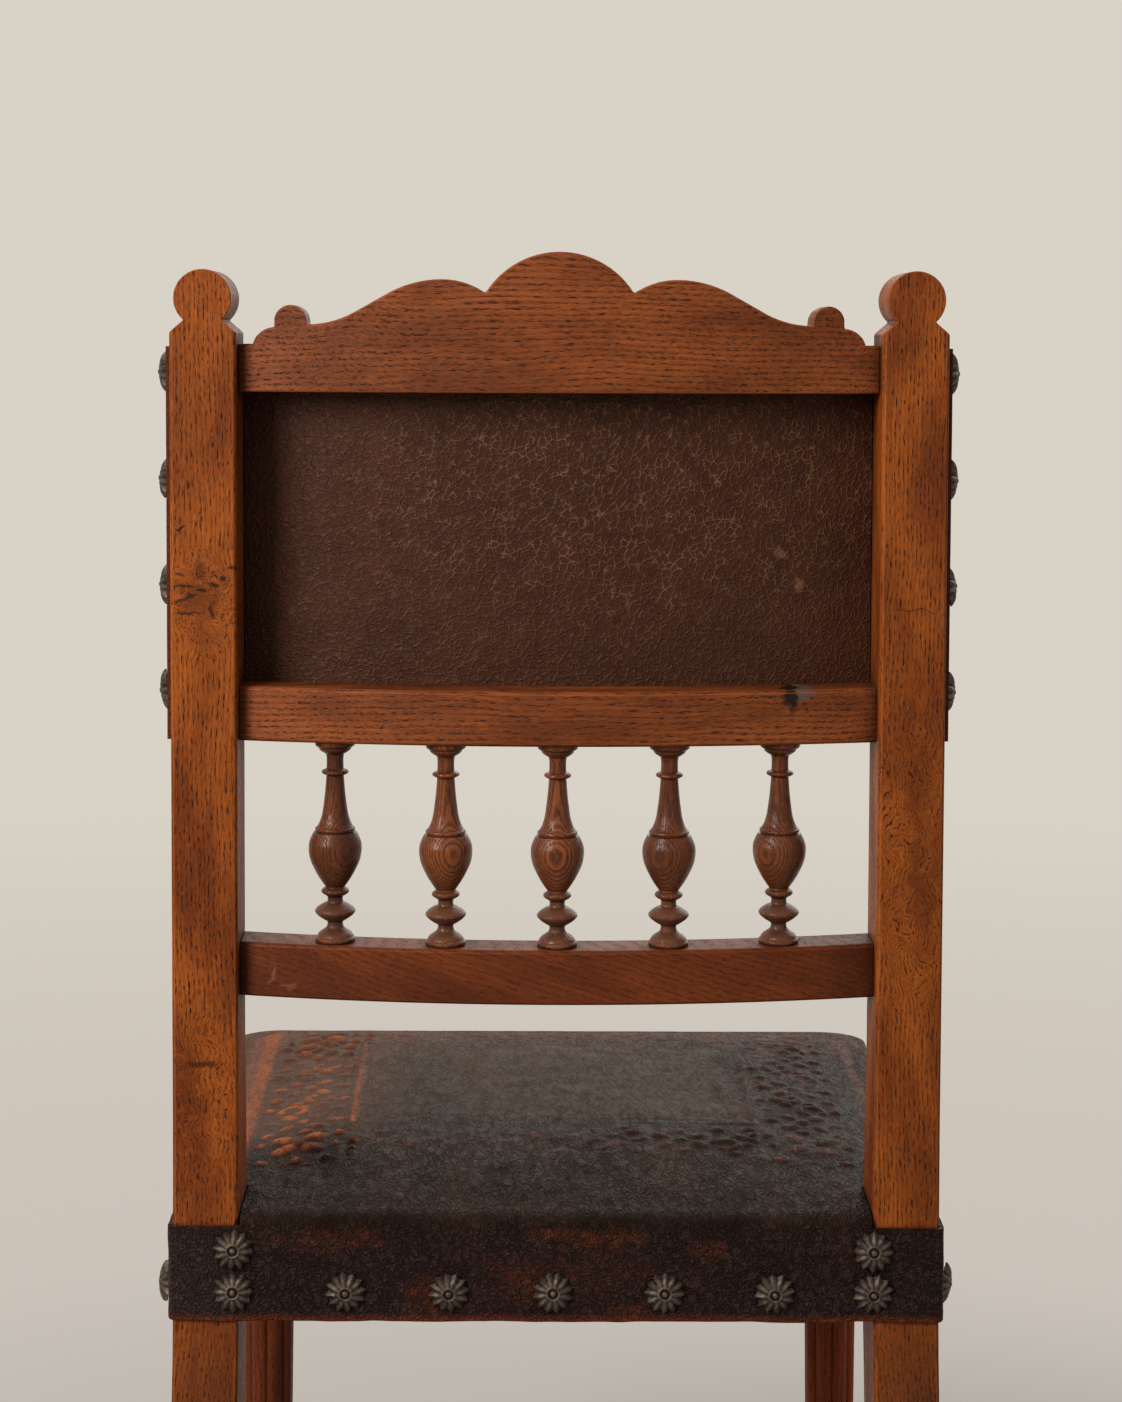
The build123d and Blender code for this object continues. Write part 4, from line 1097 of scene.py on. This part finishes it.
def border_relief(x, y):
    """Height from 0 to 1 of the embossing at a point of the seat."""
    side, rear, front = insets_at(x, y)
    bands = ((side, side_band), (rear, rear_band), (front, front_band))
    outside = min(inset - band[0] for inset, band in bands)
    inside = min(inset - band[1] for inset, band in bands)
    ridge = step(1.9, 0.8, abs(inside))
    if x > 0:
        ridge = max(ridge, step(1.9, 0.8, abs(inside - line_gap)))
    ridge *= (0.75 if abs(x) > 90 else 0.3) if rear > rear_band[1] - 2 else 0.0
    if outside < 0 or inside > 0:
        return ridge
    middles = [(band[0] + band[1]) / 2 for inset, band in bands]
    flower_x = skin_x(y, leather) - middles[0]
    flower_y = (rear_y - leather + middles[1], front_y + leather - middles[2])
    for centre in flower_y:
        if abs(abs(x) - flower_x) < flower_room and abs(y - centre) < flower_room:
            return max(ridge, rosette(abs(x), y, flower_x, centre, flower_size))
    if side < side_band[1]:
        along, across = y - middle_y - side_motif_shift, side - middles[0]
    elif rear < rear_band[1]:
        along, across = x, rear - middles[1]
    else:
        along, across = x, front - middles[2]
    along = (along + motif_pitch / 2) % motif_pitch - motif_pitch / 2
    return max(ridge, motif(along, across))


def emboss_depth(x, y):
    """How far the embossing still stands up: sitting has flattened it unevenly, most at the rear middle."""
    side, rear, front = insets_at(x, y)
    kept = 0.35 + 0.65 * step(-0.3, 0.3, ripple(x, y, 77.0, 46.0))
    if on_side_band(side, rear):
        depth = 2.2 if x < 0 else 1.5
    elif rear < rear_band[1] + band_room:
        depth = 0.25 + 1.3 * step(-10.0, 70.0, x)
    else:
        depth = 0.5
    return depth * kept * step(8.0, 34.0, front)


def wear_at(x, y, relief):
    """How far the embossing is rubbed to the orange hide: most at the left, little elsewhere."""
    side, rear, front = insets_at(x, y)
    if on_side_band(side, rear):
        amount = 0.5 + 0.5 * step(280.0, 170.0, rear) if x < 0 else 0.16
    else:
        amount = 0.14
    uneven = step(-0.45, 0.3, ripple(x, y, 40.0, 21.0))
    worn = relief * amount * uneven
    if x < 0 and rear > rear_band[1] and front > front_band[1]:
        worn = max(worn, 0.55 * step(2.6, 0.8, abs(side - side_band[1])) * step(330.0, 180.0, rear))
    if x < 0 and rear > 60:
        line = step(6.5, 4.5, abs(side - 28.5)) * (0.5 + 0.2 * ripple(x, y, 12.0, 30.0))
        worn = max(worn, line * step(60.0, 130.0, rear))
    return worn


def ring_point(section, share, inset, rear_radius, front_radius):
    """A point of the seat's plan, drawn in from the leather's outer face."""
    out = leather - inset
    rear = (rear_y - out + rear_radius, rear_radius)
    front = (front_y + out - front_radius, front_radius)
    corners = ((1, *rear), (1, *front), (-1, *front), (-1, *rear))

    def on_arc(quarter, turn_share):
        side, y, radius = corners[quarter % 4]
        angle = pi / 2 * (quarter % 4 - 1 + turn_share)
        place = y + radius * sin(angle)
        return Vector((side * (skin_x(place, out) - radius) + radius * cos(angle), place))

    quarter, straight = divmod(section, 2)
    if straight:
        return on_arc(quarter, 1).lerp(on_arc(quarter + 1, 0), share)
    return on_arc(quarter, share)


# Points round the seat: the corners' arcs and the straight sides in turn, from the rear right corner
arc_rear, arc_front = 6, 14
side_count, front_count, rear_count = 200, 190, 198
around = []
counts = (arc_rear, side_count, arc_front, front_count, arc_front, side_count, arc_rear, rear_count)
for section, count in enumerate(counts):
    around += [(section, i / count) for i in range(count)]
top_columns = front_count + arc_front
top_rows = side_count + (arc_rear + arc_front) // 2

# Rows of the skirt from inside the hem, round it, up the outside and over the roll: inset and height
hem_turn = ((hem_inset, 403.0), (1.9, 400.6), (1.2, 400.0), (0.5, 400.3), (0.1, 401.2))
hem_rows = len(hem_turn) + 2
skirt_rows = [(hem_inset, hem_inside_high)] + [(inset, z - hem_drop) for inset, z in hem_turn]
skirt_rows += [(0.0, skirt_foot + i * (band_top - skirt_foot) / 20) for i in range(21)]
for turn in (12, 24, 36, 48, 60, 72, 82, 90):
    skirt_rows.append((roll_reach * (1 - cos(radians(turn))), band_top + seat_roll * sin(radians(turn))))
all_seat_nails = [place for places in seat_nails.values() for place in places]


def seat_nail_pull(point):
    """How far the nails draw the skirt in at a point."""
    pull = 0.0
    for origin, facing in all_seat_nails:
        away = point - origin
        if abs(away.x) < pull_reach and abs(away.y) < pull_reach and abs(away.z) < pull_reach:
            pull = max(pull, exp(-away.length_squared / pull_spread))
    return pull


def seat_tilt(y):
    """Rise of the pad towards the front, from just before the rear legs."""
    start = rear_y + 60.0
    return front_rise * max(0.0, (y - start) / (front_y - start))


def skirt_grid(bm):
    """The leather from the hem to the end of the roll, with its ripples and the pull of the nails."""
    columns, rows = len(around), len(skirt_rows) - 1
    # The way each straight side faces
    face = {1: (1, 0, 0), 5: (-1, 0, 0), 3: (0, 1, 0), 7: (0, -1, 0)}

    def place(column, row):
        inset, z = skirt_rows[row]
        section, share = around[column % columns]
        spot = ring_point(section, share, inset, rear_corner + inset, front_corner + inset)
        point = Vector((spot.x, spot.y, z))
        x, y = point.x, point.y
        if row < hem_rows:
            point.z += 0.7 * ripple(x, y, 0.0, 34.0) + 0.35 * ripple(x, y, 5.0, 11.0)
        elif row < rows:
            outward = Vector(face.get(section, (x, y - middle_y, 0))).normalized()
            wave = 0.45 * ripple(x, y, z, 26.0) + 0.4 * ripple(x, y, z, 10.0)
            wave += 0.35 * ripple(x * 0.7 + z, y * 0.7, z * 0.4, 7.0)
            held = 0.4 + 0.6 * step(skirt_foot - 0.5, skirt_foot + 9.5, z)
            held *= step(roll_reach, roll_reach / 2, inset)
            point += outward * (wave * 0.9 - 0.9 * seat_nail_pull(point)) * held
        share = min(1.0, max(0.0, (z - skirt_foot) / (band_top - skirt_foot)))
        point.z += seat_tilt(y) * share
        return point

    return draped_grid(bm, columns, rows, place)


def top_grid(bm):
    """The top of the leather, fitted into the end of the roll; gives its points."""
    radii = (rear_corner + roll_reach, front_corner + roll_reach)
    rim = [ring_point(*spot, roll_reach, *radii) for spot in around]
    right = arc_rear // 2
    front = right + top_rows
    left = front + top_columns
    rear = left + top_rows

    def at(index):
        return rim[index % len(rim)]

    def place(column, row):
        u, v = column / top_columns, row / top_rows
        spot = at(left + top_rows - row) * (1 - u) + at(right + row) * u
        spot += at(rear + column) * (1 - v) + at(front + top_columns - column) * v
        spot -= (at(rear) * (1 - u) + at(right) * u) * (1 - v)
        spot -= (at(left) * (1 - u) + at(front) * u) * v
        return Vector((spot.x, spot.y, band_top + seat_roll + seat_tilt(spot.y)))

    return draped_grid(bm, top_columns, top_rows, place)


def seat_leather_piece():
    bm = bmesh.new()
    layers = bm.verts.layers.float
    for name in ("rubbed", "field", "strip", "edge"):
        layers.new(name)
    rubbed_layer, field_layer, strip_layer, edge_layer = layers.values()
    for vert in top_grid(bm):
        x, y = vert.co.x, vert.co.y
        side, rear, front = insets_at(x, y)
        inset = min(side, rear, front) - roll_reach
        relief = border_relief(x, y)
        inside = min(side - side_band[1], rear - rear_band[1], front - front_band[1])
        vert[rubbed_layer] = wear_at(x, y, relief)
        vert[field_layer] = step(-6.0, 36.0, inside) * (0.4 + 0.6 * step(-130.0, -20.0, x))
        vert[strip_layer] = step(26.0, 20.0, side) * step(70.0, 130.0, rear) * (1.0 if x < 0 else 0.5)
        crown = [min(1.0, max(0.0, d - roll_reach) / crown_run) for d in (side, rear, front)]
        dome = 1.0
        for share in (crown[0], min(crown[1], crown[2])):
            dome *= share * (2 - share)
        sag = 1.1 * ripple(x, y, 0.0, 70.0) + 0.5 * ripple(x, y, 3.0, 24.0)
        crumple = 0.9 * ripple(x * 1.2, y * 0.6, 9.0, 9.0) * step(200.0, 90.0, rear)
        crumple += 0.2 * ripple(x * 0.35, y * 1.2, 19.0, 16.0) * step(0.0, 20.0, inside)
        vert.co.z += seat_crown * dome + sag * step(0.0, 33.0, inset) + crumple * step(0.0, 8.0, inset)
        vert.co.z += relief * emboss_depth(x, y)
    for index, vert in enumerate(skirt_grid(bm)):
        row = index // (len(around) + 1)
        vert[edge_layer] = 1.0 if 1 < row < hem_rows - 1 else 0.0
    bmesh.ops.remove_doubles(bm, verts=bm.verts, dist=0.02)
    cut_leg_notches(bm, edge_layer)
    face_outward(bm)
    nodes = ("seat_cover", "seat_stuffing")
    piece = finish_piece(bm, "seat_leather", seat_leather, "leather", *nodes, sharp=70.0)


def cut_leg_notches(bm, edge_layer):
    """Open the leather round the rear legs above their band, and turn its edges down."""
    slit = 1.0
    room = 12.0
    turn_down = 14.0
    leg_inner = half_span - slit
    leg_front = rear_y + leg_depth + slit

    def faces_at(side, inner, front):
        """Faces above the band that lie further out than a place and further back than another."""
        found = []
        for face in bm.faces:
            middle = face.calc_center_median()
            if side * middle.x > inner and middle.y < front and middle.z > band_top - 0.1:
                found.append(face)
        return found

    for side in (-1, 1):
        inner_cut = (side * leg_inner, 0, 0), (side, 0, 0)
        front_cut = (0, leg_front, 0), (0, 1, 0)
        for spot, normal in (inner_cut, front_cut):
            near = faces_at(side, half_span - room, leg_front + room)
            geom = near + list({e for f in near for e in f.edges})
            geom += list({v for f in near for v in f.verts})
            bmesh.ops.bisect_plane(bm, geom=geom, dist=0.001, plane_co=spot, plane_no=normal)
        bmesh.ops.delete(bm, geom=faces_at(side, leg_inner, leg_front), context="FACES")
        rim = [
            e
            for e in bm.edges
            if e.is_boundary
            and side * (e.verts[0].co.x + e.verts[1].co.x) / 2 > half_span - 2 * slit
            and (e.verts[0].co.y + e.verts[1].co.y) / 2 < leg_front + slit
            and min(v.co.z for v in e.verts) > band_top - 2
        ]
        made = bmesh.ops.extrude_edge_only(bm, edges=rim)["geom"]
        for v in made:
            if not isinstance(v, bmesh.types.BMVert):
                continue
            v[edge_layer] = 1.0
            if v.co.z > band_top + 0.8:
                v.co.z -= turn_down
            elif v.co.y < rear_y + 0.5:
                v.co.y += hem_inset
            else:
                v.co.x -= side * hem_inset


seat_leather_piece()


# Back: lining seen from behind, and the padded leather in front of it
def lining_piece():
    bm = bmesh.new()
    columns, rows = 150, 96
    room = 0.4
    thickness = 1.1
    half = half_span - room

    def place(column, row):
        x = half * (2 * column / columns - 1)
        height = cover_low + (cover_high - cover_low) * row / rows
        free = step(half, half - 30, abs(x)) * step(243.0, 262.0, height) * step(407.0, 390.0, height)
        slack = free * (0.8 * ripple(x, 0.0, height, 60.0) + 0.3 * ripple(x, 7.0, height, 16.0))
        return back_point(x, bow_depth(x, rail_thickness + room) + slack, height)

    draped_grid(bm, columns, rows, place)
    face_outward(bm)
    bmesh.ops.solidify(bm, geom=bm.faces, thickness=-thickness)
    face_outward(bm)
    piece = finish_piece(bm, "back_lining_cloth", lining_leather, "leathercloth", "back_lining", sharp=60.0)


def swell(x):
    """How far the back pad stands out at a place across it."""
    at_edge, more_in_middle = 1.5, 13.0
    return at_edge + more_in_middle * (1 - (x / half_span) ** 2)


def back_cover_piece():
    bm = bmesh.new()
    outer = half_back + leather
    front = stile_depth + leather
    corner = 4.0
    thickness = 2.2
    # The plan of a wrapped end, from its rear edge, round the leg's corner and along the leg's front
    ends = [(outer, 6.0 + i * 2.0) for i in range(17)]
    for turn in (0.3, 0.7, 1.1, 1.45):
        ends.append((outer - corner * (1 - cos(turn)), front - corner + corner * sin(turn)))
    ends += [(half_back - corner - i * 2.0, front) for i in range(16)]
    span = [half_span * (1 - i / 70) for i in range(141)]
    plan = ends + [(x, None) for x in span] + [(-x, depth) for x, depth in reversed(ends)]
    columns, rows = len(plan) - 1, 84
    middle = (pad_low + pad_high) / 2
    nails = [origin for places in back_nails.values() for origin, facing in places]

    def place(column, row):
        x, depth = plan[column]
        height = cover_low + (cover_high - cover_low) * row / rows
        if depth is None:
            lift = max(0.0, 1 - ((height - middle) / ((pad_high - pad_low) / 2)) ** 2)
            depth = bow_depth(x, cover_offset + leather) + swell(x) * lift**0.8
            depth += 0.5 * ripple(x, 0.0, height, 30.0) * step(0.0, 0.2, lift)
        return back_point(x, depth, height)

    strip_layer = bm.verts.layers.float.new("strip")
    edge_layer = bm.verts.layers.float.new("edge")
    made = draped_grid(bm, columns, rows, place)
    for index, vert in enumerate(made):
        # Half of the seat shoulders' lighter colour, with its painted sheen, over all the back leather.
        vert[strip_layer] = 0.5
        vert[edge_layer] = 0.6 if index % (columns + 1) in (0, columns) else 0.0
        pull = max(exp(-(vert.co - nail).length_squared / pull_spread) for nail in nails)
        wrapped = abs(vert.co.x) > half_back + leather / 2
        inward = Vector((-1 if vert.co.x > 0 else 1, 0, 0)) if wrapped else -back_forward
        vert.co += inward * pull * (0.15 if wrapped else 0.6)
    bm.normal_update()
    outside = made[0].normal.x * made[0].co.x > 0
    bmesh.ops.solidify(bm, geom=bm.faces, thickness=thickness if outside else -thickness)
    face_outward(bm)
    nodes = ("back_cover", "back_stuffing")
    piece = finish_piece(bm, "back_leather", seat_leather, "leather", *nodes, sharp=70.0)


lining_piece()
back_cover_piece()


# Under the seat: hessian on crossed webbing
strap_width = 50.0
strap_thickness = 1.5
strap_length = 398.0
strap_pitch = 100.0
strap_margin = 5.5
strap_solid = 1.1
cloth_inset = 8.0
cloth_rear = -173.0
cloth_depth = 394.0
cloth_thickness = 0.7
cloth_leg_room = 2.0
cloth_z = frame_top + 2 * strap_thickness + 0.5


def hessian_piece():
    bm = bmesh.new()
    columns, rows = 80, 76

    def place(column, row):
        y = cloth_rear + cloth_depth * row / rows
        x = skin_x(y, -cloth_inset) * (2 * column / columns - 1)
        sag = 0.3 * ripple(x, y, 0.0, 40.0)
        return Vector((x, y, cloth_z + sag))

    made = draped_grid(bm, columns, rows, place)
    leg_inner = half_span - cloth_leg_room
    leg_front = rear_y + leg_depth + cloth_leg_room
    corner = [v for v in made if abs(v.co.x) > leg_inner and v.co.y < leg_front]
    bmesh.ops.delete(bm, geom=corner, context="VERTS")
    bmesh.ops.solidify(bm, geom=bm.faces, thickness=cloth_thickness)
    face_outward(bm)
    piece = finish_piece(bm, "seat_base_cloth", hessian_cloth, "hessian", "seat_hessian")


def strap(bm, stripe_layer, along_x, length, centre, low):
    """One webbing strap lying flat, slightly hollow between the rails, with a stripe near each edge."""
    columns, rows = 20, 64
    striped = (3, 4, 16, 17)

    def place(column, row):
        a = strap_width * (column / columns - 0.5)
        b = length * (row / rows - 0.5)
        hollow = -0.25 * cos(pi * b / length) + 0.1 * ripple(a, b, low, 14.0)
        x, y = (b, a) if along_x else (a, b)
        return Vector((centre[0] + x, centre[1] + y, low + strap_thickness / 2 + hollow))

    for index, vert in enumerate(draped_grid(bm, columns, rows, place)):
        vert[stripe_layer] = 1.0 if index % (columns + 1) in striped else 0.0


def webbing_piece(name, node, straps, along_x, low):
    bm = bmesh.new()
    stripe_layer = bm.verts.layers.float.new("stripe")
    for length, centre in straps:
        strap(bm, stripe_layer, along_x, length, centre, low)
    face_outward(bm)
    bmesh.ops.solidify(bm, geom=bm.faces, thickness=strap_solid)
    face_outward(bm)
    finish_piece(bm, name, webbing_cloth, "webbing", node)


hessian_piece()
long_straps = [(strap_length, (x, middle_y)) for x in nail_row(3, strap_pitch)]
webbing_piece("long_webbing", "webbing_front_to_back", long_straps, False, frame_top)
cross_pitch = (front_y - front_block - rear_y - leg_depth) / 3
cross_places = [rear_y + leg_depth + (i + 0.5) * cross_pitch for i in range(3)]
cross_straps = [(2 * skin_x(y - strap_width / 2, -strap_margin), (0.0, y)) for y in cross_places]
webbing_piece("cross_webbing", "webbing_side_to_side", cross_straps, True, frame_top + strap_thickness)

# Floor, light and camera
backdrop = srgb(217, 210, 199)


def pale_floor():
    """Floor that takes the chair's shadow near it and fades into the backdrop further off."""
    bm = bmesh.new()
    bmesh.ops.create_grid(bm, x_segments=2, y_segments=2, size=30.0)
    mesh = bpy.data.meshes.new("floor")
    bm.to_mesh(mesh)
    bm.free()
    floor = add_object("floor", mesh)
    material, w, shader = new_material("pale_floor")
    bounced = w.add("LightPath").outputs["Is Diffuse Ray"]
    w.paint(shader, w.mix(bounced, srgb(206, 200, 190), srgb(132, 124, 114)), 0.9)
    reach = w.length(w.here())
    near_shade = w.mix(w.rise(reach, 0.8, 5.0), srgb(203, 195, 185), backdrop)
    glow = w.add("Emission", {"Color": near_shade, "Strength": 1.0})
    share = w.times(w.looked_at(), w.rise(reach, 0.5, 1.3))
    mixed = w.add("MixShader", {0: share, 1: shader.outputs[0], 2: glow.outputs[0]})
    end = next(n for n in w.tree.nodes if n.type == "OUTPUT_MATERIAL")
    w.put(end.inputs[0], mixed.outputs[0])
    mesh.materials.append(material)


def surroundings():
    """Even room light, with the pale backdrop for what looks straight at it."""
    world = bpy.data.worlds.new("room")
    bpy.context.scene.world = world
    world.use_nodes = True
    w = Wiring(world.node_tree)
    world.node_tree.nodes.clear()
    light = w.add("Background", {"Color": (0.96, 0.97, 1.0, 1.0), "Strength": 0.37})
    seen = w.add("Background", {"Color": backdrop, "Strength": 1.0})
    mixed = w.add("MixShader", {0: w.looked_at(), 1: light.outputs[0], 2: seen.outputs[0]})
    end = w.add("OutputWorld")
    w.put(end.inputs[0], mixed.outputs[0])


def lamp(name, kind, strength, colour, toward, place=(0, 0, 0), **settings):
    """A soft light in a place, shining along a direction."""
    data = bpy.data.lights.new(name, kind)
    data.energy = strength
    data.color = colour
    for setting, value in settings.items():
        setattr(data, setting, value)
    made = add_object(name, data)
    made.location = place
    made.rotation_euler = toward.to_track_quat("-Z", "Y").to_euler()


pale_floor()
surroundings()
window_place = Vector((-1.45, -1.7, 1.7))
window_way = Vector((0.0, -0.15, 0.7)) - window_place
window_shape = {"shape": "RECTANGLE", "size": 1.0, "size_y": 1.3}
lamp("window_left", "AREA", 50.0, (1.0, 0.98, 0.95), window_way, window_place, **window_shape)
lamp("room_fill", "SUN", 1.0, (1.0, 0.98, 0.96), Vector((-0.3, -0.8, -0.55)), angle=radians(60.0))

image_width, image_height = 1122, 1402
focal_pixels = 2578.0
camera_pitch = radians(1.317)
camera_roll = radians(0.187)
camera_place = (-0.0164, -1.5827, 0.8846)
camera_data = bpy.data.cameras.new("camera")
camera_data.sensor_width = 36.0
camera_data.lens = focal_pixels / max(image_width, image_height) * camera_data.sensor_width
camera_data.shift_x = 0.0232
camera_data.shift_y = -0.15
camera_data.clip_start = 0.05
camera_data.clip_end = 100.0
camera = add_object("camera", camera_data)
facing = Matrix.Rotation(radians(90) - camera_pitch, 4, "X") @ Matrix.Rotation(camera_roll, 4, "Z")
camera.matrix_world = Matrix.Translation(camera_place) @ facing
bpy.context.scene.camera = camera
bpy.context.scene.view_settings.view_transform = "Standard"

bpy.context.view_layer.update()
